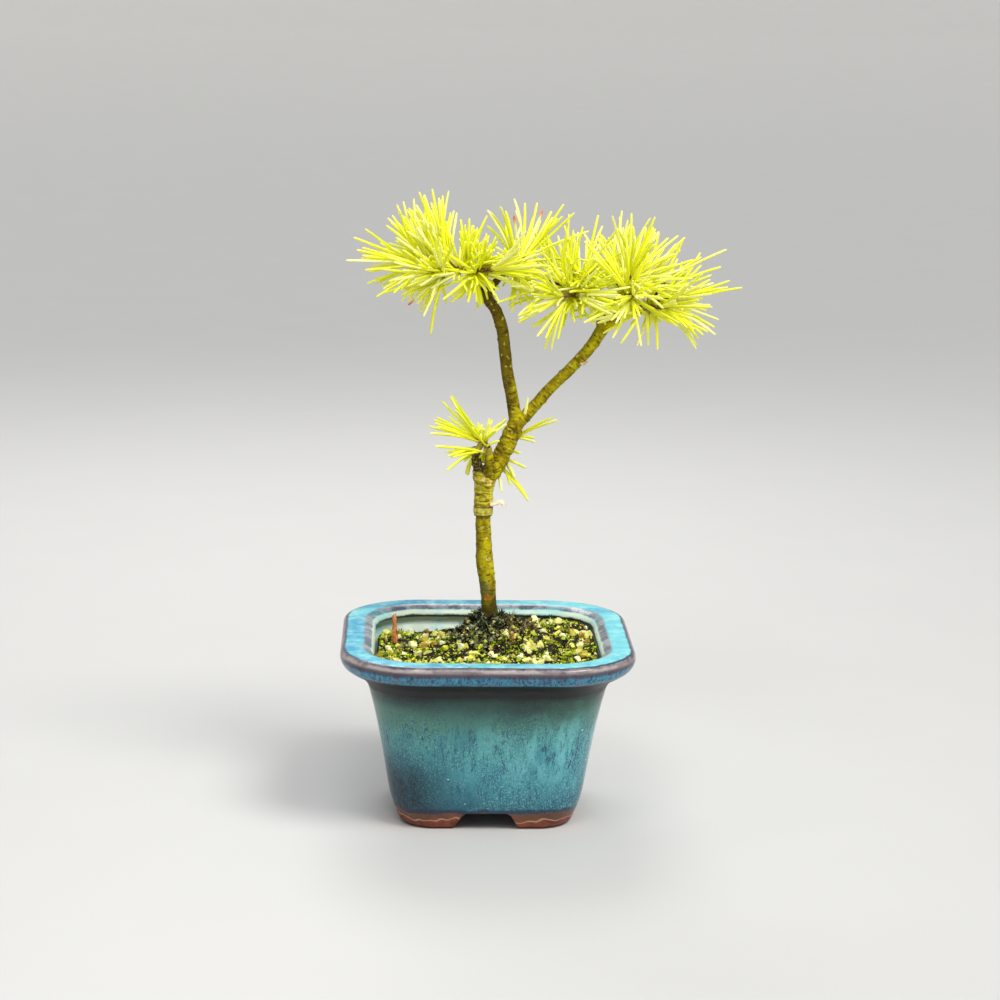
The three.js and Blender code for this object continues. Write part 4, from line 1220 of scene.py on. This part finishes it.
def folded(z):
    """The bark is folded like a sleeve from the union up to the fork."""
    return clamp((z - 102) / 4) * clamp((128 - z) / 6)


def marks_on(length, chance):
    """Ring creases and leaf scars along a limb: how far along, the side they face and how deep or high."""
    creases, scars = [], []
    spot = chance.uniform(0.5, 2)
    while spot < length:
        creases.append((spot, chance.uniform(0, math.tau), chance.uniform(0.05, 0.15)))
        scars.append((spot + 0.5, chance.uniform(0, math.tau), chance.uniform(0.08, 0.36)))
        spot += chance.uniform(1.3, 3.2)
    return creases, scars


def limb_rings(name, stations, seed):
    """Rings of a limb with the uneven swellings, ring creases and leaf scars of young bark."""
    line = smooth_line(stations, 24)
    lengths = lengths_along(line)
    count = max(3, int(lengths[-1] / LIMB_STEP))
    table = np.array([tuple(p) for p in line])
    at = np.linspace(0, lengths[-1], count)
    rows = np.stack([np.interp(at, lengths, table[:, i]) for i in range(4)], 1)
    creases, scars = marks_on(lengths[-1], random.Random(seed))
    rings = []
    normal = Vector((0, -1, 0.2))
    for i, row in enumerate(rows):
        centre = Vector(row[:3])
        ahead = Vector(rows[min(i + 1, count - 1)][:3]) - Vector(rows[max(i - 1, 0)][:3])
        tangent = ahead.normalized()
        normal = (normal - tangent * normal.dot(tangent)).normalized()
        side = tangent.cross(normal)
        ring = []
        for a in angles(LIMB_SIDES):
            out = normal * math.cos(a) + side * math.sin(a)
            wrinkle = noise.noise(Vector((out.x * 0.6, out.y * 0.6, at[i] * 0.85 + seed * 9)))
            lump = noise.noise(Vector((centre + out * row[3])) * 0.35 + Vector((seed, 0, 0)))
            radius = row[3] * (1.01 + 0.03 * wrinkle + 0.05 * lump)
            fold = noise.noise(Vector((out.x * 0.9, out.y * 0.9, at[i] * 1.5 + 40)))
            radius += 0.34 * fold * folded(centre.z) * (name != "stub")
            for where, turn, deep in creases:
                if abs(at[i] - where) < 1:
                    wave = where + 0.25 * math.sin(a * 2 + turn)
                    round_share = 0.55 + 0.45 * math.cos(a - turn)
                    radius -= deep * round_share * math.exp(-(((at[i] - wave) / 0.22) ** 2))
            for where, turn, high in scars:
                if abs(at[i] - where) < 1.6:
                    off = math.remainder(a - turn, math.tau) * row[3]
                    radius += high * math.exp(-(((at[i] - where) / 0.5) ** 2) - (off / 0.7) ** 2)
            if name == "stub":
                radius += 0.35 * noise.noise(Vector((out.x * 2, out.y * 2, at[i] * 1.6)))
            ring.append(centre + out * radius)
        rings.append(ring)
    return rings, rows, at


class WoodSettings(bpy.types.PropertyGroup):
    detail: length_setting("Detail", "Size of the facets that the bark is made of", 0.00023)


class BONSAI_OT_wood(bpy.types.Operator):
    """Make the stem, the stub and the branches as one grown piece"""

    bl_idname = "bonsai.wood"
    bl_label = "Wood"

    def execute(self, context):
        points, faces = [], []
        spots = []
        for seed, (name, stations) in enumerate(LIMBS.items()):
            rings, rows, at = limb_rings(name, stations, seed)
            skinned, sides = skin(rings, Vector(rows[0][:3]), Vector(rows[-1][:3]))
            faces += [tuple(i + len(points) for i in face) for face in sides]
            points += skinned
            spots += [(Vector(row[:3]), float(d), float(name == "stub")) for row, d in zip(rows, at)]
        wood = add_object("bark", make_mesh("bark", points, faces))
        remesh = wood.modifiers.new("Grow together", "REMESH")
        remesh.mode = "VOXEL"
        remesh.voxel_size = settings_of("wood").detail
        bake_modifiers(wood)
        tree = KDTree(len(spots))
        for i, spot in enumerate(spots):
            tree.insert(spot[0], i)
        tree.balance()
        grown = wood.data.vertices
        nearest = [spots[tree.find((v.co - POT_MIDDLE) / MM)[1]] for v in grown]
        # How far each point faces left, for the painted shade on that side
        left_side = [clamp(-1.3 * v.normal.x - 0.1) for v in grown]
        along, stub = [spot[1] for spot in nearest], [spot[2] for spot in nearest]
        tag_points(wood.data, along=along, stub=stub, left_side=left_side)
        shade(wood)
        dress(wood, bark_material(), "bark", "wood")
        self.make_flake()
        return {"FINISHED"}

    def make_flake(self):
        """A pale flake of bark that peels away under the right branch."""
        foot, tip = Vector((27.9, 6.6, 139.6)), Vector((30.4, 5.6, 140.2))
        rings = []
        for i in range(15):
            t = i / 14
            centre = foot.lerp(tip, t) + Vector((0, 0, -0.9 * t * (1 - t) * 2))
            wide = 0.65 * math.sin(math.pi * (0.15 + 0.75 * t)) + 0.08
            ring = []
            for a in angles(10):
                across, thick = wide * 0.7 * math.cos(a), 0.12 * math.sin(a)
                ring.append(centre + Vector((thick, across, across + thick)))
            rings.append(ring)
        paint = Paint("pale_bark_flake")
        cloud = paint.grain(paint.place(), 0.6, 3)
        colour = paint.blend(cloud.step(0.4, 0.65), "#f0dccb", "#c99f7c")
        make_piece("bark_flake", skin(rings, foot, tip), paint.finish(colour, 0.7, cloud, 0.1), "bark")


def tape_material():
    """Stretched tape gone yellow-olive, with painted shade between its turns and along its foot, a painted
    highlight down its right side, and paler scraps.
    """
    paint = Paint("weathered_tape")
    place = paint.place()
    across, height = paint.axis(place, 0), paint.axis(place, 2)
    patches = paint.grain(place, 1.7, 4, 0.65)
    strain = paint.grain(paint.scale(place, (0.5, 0.5, 2.2)), 0.8, 4, 0.7)
    low, high = TAPE_BAND
    # The grooves between the turns, where painted shade lies
    groove = 1 - (paint.tag("turn") + (strain - 0.5) * 0.6).step(0.04, 0.3)
    lowest = (height + (strain - 0.5) * 0.6).band(low, high, 0.25)
    # Where the painted highlight runs down the right side
    strip = across.step(0.4, 0.9) * height.band(94.6, 100.6, 0.5)
    rose = paint.grain(place, 1.6, 2).step(0.55, 0.63) * height.step(99.5, 101.5)
    colour = paint.ramp(
        patches * 0.6 + strain * 0.4,
        [(0.34, "#5e4e04"), (0.44, "#958608"), (0.52, "#bbaa10"), (0.6, "#d3c526"), (0.7, "#e8de58")],
    )
    colour = paint.coats(
        colour,
        # Painted shade in the grooves between the turns
        (groove * 0.85 * patches.step(0.38, 0.52), "#2c2008"),
        (strain.step(0.58, 0.68) * 0.55, "#3f310c"),
        (lowest * patches.step(0.36, 0.6) * 0.7, "#d9cd62"),
        # Painted shade at the top edge of the lowest turn
        (height.band(high - 0.1, high + 0.45, 0.12) * 0.7, "#33270a"),
        # Painted highlight down the right side
        (strip * 0.7, "#ddd43a"),
        (rose * 0.75, "#e3c08e"),
        # Painted shade under the lowest turn, along the tape's foot
        ((1 - height.step(91.1, 91.7)) * 0.8, "#2a2008"),
    )
    relief = strain * 0.6 + patches * 0.4
    return paint.finish(colour, 0.45 + strain * 0.25, relief, 0.3, Specular_IOR_Level=0.35)


class BONSAI_OT_grafting_tape(bpy.types.Operator):
    """Wind the old grafting tape round the union, with its loose end"""

    bl_idname = "bonsai.grafting_tape"
    bl_label = "Grafting Tape"

    def execute(self, context):
        heights = [z for _, z, _ in TAPE]
        sides, rows = 72, 110
        rings, turns = [], []
        for r in range(rows):
            z = heights[0] + (heights[-1] - heights[0]) * r / (rows - 1)
            x = float(np.interp(z, heights, [p[0] for p in TAPE]))
            radius = float(np.interp(z, heights, [p[2] for p in TAPE])) - 0.2
            low, high = TAPE_BAND
            on_band = clamp((high - z) / 0.25) * clamp((z - low + 0.4) / 0.4)
            lumps = clamp((z - 99) / 1.5) * 0.6
            ring = []
            for n, a in enumerate(angles(sides)):
                around = Vector((math.cos(a) * 1.4, math.sin(a) * 1.4, z * 1.3))
                slant = 0.9 * noise.noise(around * 0.45) + 0.3 * noise.noise(around)
                wind = (z / 1.5 + n / sides + slant) % 1
                strength = 0.22 + 0.16 * noise.noise(around * 0.3 + Vector((9, 0, 0)))
                ridge = strength * math.sin(math.pi * min(wind * 1.15, 1)) ** 0.6
                ridge += (0.36 - ridge) * on_band
                crumple = 0.16 * noise.noise(around)
                crumple += lumps * max(0.0, noise.noise(around * 0.7 + Vector((5, 0, 0))))
                out = radius + ridge + crumple
                wave = 0.25 * noise.noise(Vector((math.cos(a), math.sin(a), 4))) if r == 0 else 0
                ring.append(Vector((x + out * math.cos(a), TRUNK_XY[1] + out * math.sin(a), z + wave)))
                turns.append(wind + (0.6 - wind) * on_band)
            rings.append(ring)
        inner = []
        for ring in reversed(rings):
            centre = sum(ring, Vector()) / sides
            inner.append([centre + (p - centre) * 0.8 for p in ring])
        loop = rings + inner
        surface = [p for ring in loop for p in ring], ring_faces(len(loop), sides, closed=True)
        material = tape_material()
        make_piece("tape_wrap", surface, material, "tape", "grafting_tape", angle=50, turn=turns * 2)
        self.make_tail()
        return {"FINISHED"}

    def make_tail(self):
        """The tape's loose end, a curled strip that stands off to the right."""
        line = smooth_line(TAPE_TAIL, 10)
        rings = []
        for i, p in enumerate(line):
            ahead = (line[min(i + 1, len(line) - 1)] - line[max(i - 1, 0)]).normalized()
            wide = Vector((0.2, -0.6, 1)).cross(ahead).normalized()
            thick = ahead.cross(wide)
            curl = 0.88 + 0.14 * math.sin(i * 0.5)
            rings.append([p + wide * curl * math.cos(a) + thick * 0.42 * math.sin(a) for a in angles(12)])
        paint = Paint("tape_tail")
        cloud = paint.grain(paint.place(), 1.5, 3)
        colour = paint.blend(cloud.step(0.48, 0.64) * 0.8, "#f8ead0", "#e0b192")
        material = paint.finish(colour, 0.5, cloud, 0.1)
        make_piece("tape_tail", skin(rings, line[0], line[-1]), material, "tape", "grafting_tape")


# Needles


def needle_lines(node):
    """Root and tip of each needle of a spray, read from the pointed tips of its CAD solid."""
    narrow, wide = NEEDLE_SIDE
    short, long = NEEDLE_POINT
    solid = bmesh.new()
    solid.from_mesh(NODES[node].data)
    bmesh.ops.remove_doubles(solid, verts=solid.verts, dist=1e-6)
    found = []
    for tip in solid.verts:
        ring = [edge.other_vert(tip) for edge in tip.link_edges]
        if len(ring) != 3:
            continue
        knee = (ring[0].co + ring[1].co + ring[2].co) / 3
        reach = (tip.co - knee).length / MM
        sides = [(ring[i].co - ring[i - 1].co).length / MM for i in range(3)]
        if not (narrow < min(sides) and max(sides) < wide and short < reach < long):
            continue
        back = [edge.other_vert(v).co for v in ring for edge in v.link_edges]
        back = [co for co in back if (co - tip.co).length > reach * 1.5 * MM]
        if not back:
            continue
        way = (knee - sum(back, Vector()) / len(back)).normalized()
        root = knee - way * reach * 4 * MM  # the point is a fifth of the needle
        found.append(((root - POT_MIDDLE) / MM, (tip.co - POT_MIDDLE) / MM))
    solid.free()
    return found


def bent_needle(root, tip, axis, chance):
    """Points and half thicknesses along a needle, which leaves along the shoot and bends outward."""
    span = tip - root
    along = span.normalized()
    rise = axis - along * axis.dot(along)
    sideways = stray(chance, 1).cross(along).normalized()
    bow = (rise * chance.uniform(0.03, 0.09) + sideways * chance.uniform(0, 0.02)) * span.length
    bends = [4 * t * (1 - t) * (1.25 - 0.5 * t) for t, _ in NEEDLE_GIRTHS]
    return [(root + span * t + bow * bend, girth) for (t, girth), bend in zip(NEEDLE_GIRTHS, bends)]


def fill_in(found, share, chance):
    """More needles, each between two modelled ones that grow close together."""
    added = []
    for root, tip in found:
        near = sorted(found, key=lambda other: (other[0] - root).length)[1:10]
        for _ in range(int(share + chance.random())):
            other_root, other_tip = chance.choice(near)
            mix = chance.uniform(0.25, 0.75)
            way = (tip - root).normalized().lerp((other_tip - other_root).normalized(), mix)
            if way.length < 0.3:
                continue
            start = root.lerp(other_root, mix)
            added.append((start, start + way.normalized() * (tip - root).length * chance.uniform(0.78, 1)))
    return added


def young_needles(bud, count, facing, least, reach, chance):
    """Short needles round a bud. Least is the lowest cosine from the way they face, give or take 0.3."""
    facing = Vector(facing).normalized()
    made = []
    while len(made) < count:
        way = stray(chance, 1).normalized()
        if way.dot(facing) < least + chance.uniform(-0.3, 0.3) * (1 - abs(least)):
            continue
        root = Vector(bud) + stray(chance, 0.5) + way * 0.7
        made.append((root, root + way * chance.uniform(*reach)))
    return made


class Lines:
    """Chains of points that the strand tree turns into needles, shoots or sheaths."""

    def __init__(self):
        self.points, self.edges = [], []
        self.girth, self.tone, self.reach = [], [], []

    def add(self, chain, tone):
        start, last = len(self.points), len(chain) - 1
        self.points += [point for point, _ in chain]
        self.girth += [girth * MM for _, girth in chain]
        self.tone += [tone] * len(chain)
        self.reach += [i / last for i in range(len(chain))]
        self.edges += [(start + i, start + i + 1) for i in range(last)]

    def make(self, name, growth, sides, material, slot, *nodes):
        """The piece that the strand tree grows on the chains."""
        tags = {"girth": self.girth, "tone": self.tone, "reach": self.reach}
        strands = add_object(name, make_mesh(name, self.points, [], self.edges, **tags))
        piece = growth.grow(strands, Sides=sides, Material=material)
        shade(piece, 60)
        dress(piece, material, slot, *nodes)


def needle_material():
    """Waxy yellow-green needles, greener at the root and pale at the tip, the paleness partly painted
    highlight, and a few scorched red.
    """
    paint = Paint("waxy_needle")
    place = paint.place()
    tone, reach = paint.tag("tone"), paint.tag("reach")
    cloud = paint.grain(place, 9, 2)
    # The palest tones are partly painted highlight
    stops = [(0.1, "#e0e712"), (0.35, "#f3f624"), (0.6, "#fdfc44"), (0.88, "#ffffb0")]
    colour = paint.coats(
        paint.ramp(tone * 0.8 + cloud * 0.2, stops),
        ((1 - reach.step(0.0, 0.4)) * 0.35, "#cdc61a"),
        # Paler towards the tips, partly painted highlight
        (reach.step(0.45, 0.95) * 0.35, "#ffffa8"),
        (reach.step(0.94, 0.98) * 0.6, "#fff6c4"),
        (tone.step(0.984, 0.988) * reach.step(0.5, 0.75) * 0.9, "#e2541c"),
    )
    glow = {"Subsurface_Weight": 0.25, "Subsurface_Radius": (0.0014, 0.0014, 0.0005)}
    ribs = paint.grain(place, 0.35, 2)
    return paint.finish(colour, 0.42 + cloud * 0.1, ribs, 0.04, Specular_IOR_Level=0.35, **glow)


def shoot_material():
    """Brown scales on the shoots, and straw-coloured sheaths."""
    paint = Paint("shoot_scales")
    scales = paint.dots(paint.scale(paint.place(), (1, 1, 0.8)), 0.7)
    colour = paint.ramp(scales, [(0.1, "#a3832e"), (0.35, "#7c5a1e"), (0.6, "#4a3212"), (0.85, "#2a1b0b")])
    colour = paint.blend(paint.tag("tone").step(0.5, 0.6) * 0.8, colour, "#bdae34")
    return paint.finish(colour, 0.7, 1 - scales, 0.25)


class NeedleSettings(bpy.types.PropertyGroup):
    extra: bpy.props.FloatProperty(
        name="Extra Needles", description="Multiplies how many needles are added to each spray", default=1.0,
        min=0.0,
    )
    sides: bpy.props.IntProperty(name="Sides", description="Sides of each needle's section", default=6, min=3)
    seed: bpy.props.IntProperty(name="Seed", description="Seed of the added needles", default=7)


class BONSAI_OT_needles(bpy.types.Operator):
    """Make the shoots and needles of each spray"""

    bl_idname = "bonsai.needles"
    bl_label = "Needles"

    def execute(self, context):
        options = settings_of("needles")
        growth = strand_tree()
        needle, shoot = needle_material(), shoot_material()
        for index, (node, (limb, knot, shoots, fullness)) in enumerate(SPRAYS.items()):
            chance = random.Random(options.seed + index)
            lines, wood = Lines(), Lines()
            stems = [(Vector(knot).lerp(Vector(shoots[0][0]), off), Vector(tip)) for tip, off in shoots]
            found = self.held(node, needle_lines(node), chance)
            full = found + fill_in(found, options.extra * fullness, chance)
            scorched = [self.nearest_tip(full, x, z) for x, z in SCORCHED.get(node, [])]
            for i, (root, tip) in enumerate(full):
                axis = self.nearest_shoot(root, stems)
                tone = 1.0 if i in scorched else chance.uniform(0, 0.97)
                lines.add(bent_needle(root, tip, axis, chance), tone)
            for bud, count, facing, least, reach in YOUNG.get(node, []):
                for root, tip in young_needles(bud, count, facing, least, reach, chance):
                    lines.add(bent_needle(root, tip, Vector(facing), chance), chance.uniform(0, 0.6))
            self.grow_shoots(wood, limb, Vector(knot), stems, [root for root, _ in found], chance)
            name = node.replace("needles_", "")
            lines.make(name + "_needles", growth, options.sides, needle, "needle", node)
            wood.make(name + "_shoots", growth, 9, shoot, "bark", node)
        bud = Lines()
        bud.add([(Vector(spot[:3]), spot[3]) for spot in BUD], 0.9)
        bud.make("bud_shoot", growth, 10, needle, "needle")
        return {"FINISHED"}

    def held(self, node, found, chance):
        """The needles of a spray, turned where the photograph shows them held in another way."""
        if len(found) < FEWEST_NEEDLES:
            raise RuntimeError(f"only {len(found)} needles were found in {node}")
        if node == "needles_low":
            return [self.gathered(root, tip, chance) for root, tip in found]
        if node == "needles_stem":
            return self.beside_stem(found, chance)
        if node == "needles_left":
            found = [self.swept(root, tip) for root, tip in found]
        return [self.lifted(root, tip, chance) for root, tip in found]

    @staticmethod
    def gathered(root, tip, chance):
        """A needle of the low whorl, drawn into the nearest bundle."""
        middle = Vector(LOW_MIDDLE)
        way = (Vector((tip.x, tip.z)) - middle).normalized()
        x, z = max(LOW_BUNDLES, key=lambda end: way.dot((Vector(end) - middle).normalized()))
        if x > -8 and z < 108:
            off = stray(chance, 0.4)
            end = Vector((x + off.x, 11 + off.y * 4, z + off.z))
            return Vector(BEHIND_STUB) + off * 0.4, end
        if x < -8 and z < 117:
            root = root - Vector((0, 0, 1.8))
        reach = chance.uniform(0.9, 1.02)
        end = middle + (Vector((x, z)) - middle) * reach
        depth = 0.3 if x > -3 else 0.75
        return root, Vector((end.x + chance.gauss(0, 0.3), root.y + (tip.y - root.y) * depth, end.y))

    @staticmethod
    def swept(root, tip):
        """A needle of the left spray: away from the branch they all point outward."""
        if root.x > -9 or tip.x - root.x < 3:
            return root, tip
        return root, Vector((root.x - (tip.x - root.x) * 0.9, tip.y, tip.z))

    @staticmethod
    def lifted(root, tip, chance):
        """Most needles that point down are held a little higher, so that the spray is flat below."""
        drop_by = root.z - tip.z
        if drop_by < 4 or chance.random() > 0.8:
            return root, tip
        return root, Vector((tip.x + (tip.x - root.x) * 0.06, tip.y, root.z - drop_by * 0.72))

    @staticmethod
    def beside_stem(found, chance):
        """The needles that come out from behind the stem, the lowest first, a bundle after the other."""
        turned = sorted(found, key=lambda needle: (needle[1] - needle[0]).normalized().z)
        made = []
        for i, (root, tip) in enumerate(turned):
            x, z, far_x, far_z = STEM_BUNDLES[i * len(STEM_BUNDLES) // len(turned)]
            edge, end = Vector((x, 9.8, z)), Vector((far_x, 5 + tip.y * 0.5, far_z))
            start = edge + (edge - end).normalized() * 2.2
            start.y = 10.8
            end += (end - start) * chance.uniform(-0.06, 0.02)
            made.append((start, end + Vector((0, 0, chance.gauss(0, 0.35)))))
        return made

    def grow_shoots(self, wood, limb, knot, stems, roots, chance):
        """The neck from the limb, the shoots with their bud scales, and a short sheath under each needle."""
        thick = limb[-1][3]
        neck = 1.0 if limb is SPUR else chance.uniform(0, 0.4)
        self.add_twig(wood, Vector(limb[-1][:3]), knot, thick - 0.05, min(0.95, thick), neck)
        for start, tip in stems:
            self.add_twig(wood, start, tip, min(0.9, thick), 0.6, chance.uniform(0, 0.4))
            ahead = (tip - start).normalized()
            wood.add([(tip + ahead * far, girth) for far, girth in BUD_GIRTHS], 0.2)
        for root in roots:
            best = min((self.on_line(root, *stem) for stem in stems), key=lambda spot: (spot - root).length)
            way = root - best
            if 0.4 < way.length < 4:
                wood.add([(best, 0.4), (best + way * 0.5, 0.5), (root, 0.42), (root + way * 0.2, 0.3)], 1.0)

    def nearest_shoot(self, root, stems):
        """Direction of the shoot that a needle grows from."""
        a, b = min(stems, key=lambda stem: (self.on_line(root, *stem) - root).length)
        return (b - a).normalized()

    @staticmethod
    def nearest_tip(needles, x, z):
        return min(range(len(needles)), key=lambda i: math.hypot(needles[i][1].x - x, needles[i][1].z - z))

    @staticmethod
    def on_line(point, a, b):
        share = clamp((point - a).dot(b - a) / (b - a).length_squared)
        return a.lerp(b, share)

    @staticmethod
    def add_twig(wood, start, end, thick, thin, tone):
        """A twig whose girth swells at each leaf scar."""
        count = max(4, int((end - start).length / 0.7))
        chain = []
        for i in range(count + 1):
            t = i / count
            swell = 1 + (0.14 if i % 2 else -0.06) * (0 < i < count)
            chain.append((start.lerp(end, t), (thick + (thin - thick) * t) * swell))
        wood.add(chain, tone)


# Stage


class StageSettings(bpy.types.PropertyGroup):
    sun_strength: bpy.props.FloatProperty(
        name="Sun Strength", description="Strength of the even light from the upper right", default=1.95
    )
    key_power: bpy.props.FloatProperty(
        name="Key Power", description="Power of the soft light in front", default=2.0, unit="POWER"
    )
    back_power: bpy.props.FloatProperty(
        name="Back Power", description="Power of the soft light behind", default=2.2, unit="POWER"
    )
    fill_power: bpy.props.FloatProperty(
        name="Fill Power", description="Power of the small light that brings up the sprays", default=0.4,
        unit="POWER",
    )
    ambient: bpy.props.FloatProperty(
        name="Ambient", description="Strength of the light from all sides", default=0.4
    )
    floor_colour: bpy.props.FloatVectorProperty(
        name="Floor Colour", description="Colour of the floor", subtype="COLOR", size=4,
        default=(0.62, 0.61, 0.595, 1.0),
    )


class BONSAI_OT_stage(bpy.types.Operator):
    """Set up the pale floor, the soft lights and the photograph's camera"""

    bl_idname = "bonsai.stage"
    bl_label = "Stage"

    def execute(self, context):
        options = settings_of("stage")
        floor = add_object("floor", self.floor_mesh())
        shade(floor)
        paint = Paint("pale_floor")
        soft = paint.grain(paint.place(), 60, 2)
        colour = tuple(options.floor_colour)
        darker = tuple(c * 0.96 for c in colour[:3]) + (1.0,)
        floor.data.materials.append(paint.finish(paint.blend(soft, colour, darker), 0.6))
        world = bpy.data.worlds.new("Studio")
        context.scene.world = world
        world.use_nodes = True
        background = world.node_tree.nodes["Background"].inputs
        background["Color"].default_value = SKY_COLOUR
        background["Strength"].default_value = options.ambient
        for name, (setting, kind, at, look) in LIGHTS.items():
            self.add_light(name, kind, at, getattr(options, setting), look)
        context.scene.view_settings.view_transform = "Standard"
        self.add_camera(context)
        return {"FINISHED"}

    @staticmethod
    def floor_mesh():
        """A flat floor, in millimetres, that curves up far away so that a low view ends in it too."""
        points = [Vector((0, 0, 0))]
        around = [(math.cos(a), math.sin(a)) for a in angles(FLOOR_SPOKES)]
        for reach, height in FLOOR_PROFILE:
            points += [Vector((reach * x, reach * y, height)) for x, y in around]
        faces = [(0, 1 + i, 1 + (i + 1) % FLOOR_SPOKES) for i in range(FLOOR_SPOKES)]
        for r in range(1, len(FLOOR_PROFILE)):
            high = 1 + r * FLOOR_SPOKES
            low = high - FLOOR_SPOKES
            for i in range(FLOOR_SPOKES):
                j = (i + 1) % FLOOR_SPOKES
                faces.append((low + i, high + i, high + j, low + j))
        return make_mesh("floor", points, faces)

    def add_light(self, name, kind, at, energy, look):
        lamp = bpy.data.lights.new(name, kind)
        lamp.energy = energy
        for key, value in look.items():
            setattr(lamp, key, value)
        light = add_object(name, lamp)
        light.location = POT_MIDDLE + Vector(at) * MM
        aim = POT_MIDDLE + Vector(LIGHT_AIM) * MM
        light.rotation_euler = (aim - light.location).to_track_quat("-Z", "Y").to_euler()

    def add_camera(self, context):
        lens = bpy.data.cameras.new("camera")
        lens.sensor_width = 36
        lens.lens = CAMERA_LENS
        lens.clip_start = 0.01
        lens.clip_end = 200
        camera = add_object("camera", lens)
        camera.location = POT_MIDDLE + Vector(CAMERA_AT) * MM
        aim = POT_MIDDLE + Vector(CAMERA_AIM) * MM
        look = (aim - camera.location).to_track_quat("-Z", "Y").to_matrix()
        roll = Matrix.Rotation(math.radians(CAMERA_ROLL), 3, "Z")
        camera.rotation_euler = (look @ roll).to_euler()
        context.scene.camera = camera


class BONSAI_PT_panel(bpy.types.Panel):
    """Lists the pieces of the bonsai"""

    bl_idname = "BONSAI_PT_panel"
    bl_label = "White Pine Bonsai"
    bl_space_type = "VIEW_3D"
    bl_region_type = "UI"
    bl_category = "Bonsai"

    def draw(self, context):
        for name in GROUPS:
            box = self.layout.box()
            group = settings_of(name)
            for key in group.bl_rna.properties.keys():
                if key not in {"rna_type", "name"}:
                    box.prop(group, key)
        for operator in OPERATORS:
            self.layout.operator(operator.bl_idname)


GROUPS = {
    "pot": PotSettings,
    "soil": SoilSettings,
    "wood": WoodSettings,
    "needles": NeedleSettings,
    "stage": StageSettings,
}
OPERATORS = [
    BONSAI_OT_pot, BONSAI_OT_drain_mesh, BONSAI_OT_soil, BONSAI_OT_grit, BONSAI_OT_moss,
    BONSAI_OT_moss_collar, BONSAI_OT_wood, BONSAI_OT_grafting_tape, BONSAI_OT_needles, BONSAI_OT_stage,
]


def register():
    for kind in [*GROUPS.values(), *OPERATORS, BONSAI_PT_panel]:
        bpy.utils.register_class(kind)
    for name, group in GROUPS.items():
        setattr(bpy.types.Scene, "bonsai_" + name, bpy.props.PointerProperty(type=group))


def unregister():
    for name in GROUPS:
        delattr(bpy.types.Scene, "bonsai_" + name)
    for kind in reversed([*GROUPS.values(), *OPERATORS, BONSAI_PT_panel]):
        bpy.utils.unregister_class(kind)


def main():
    register()
    bpy.ops.bonsai.pot()
    bpy.ops.bonsai.drain_mesh()
    bpy.ops.bonsai.soil()
    bpy.ops.bonsai.grit()
    bpy.ops.bonsai.moss()
    bpy.ops.bonsai.moss_collar()
    bpy.ops.bonsai.wood()
    bpy.ops.bonsai.grafting_tape()
    bpy.ops.bonsai.needles()
    bpy.ops.bonsai.stage()


if __name__ == "__main__":
    main()
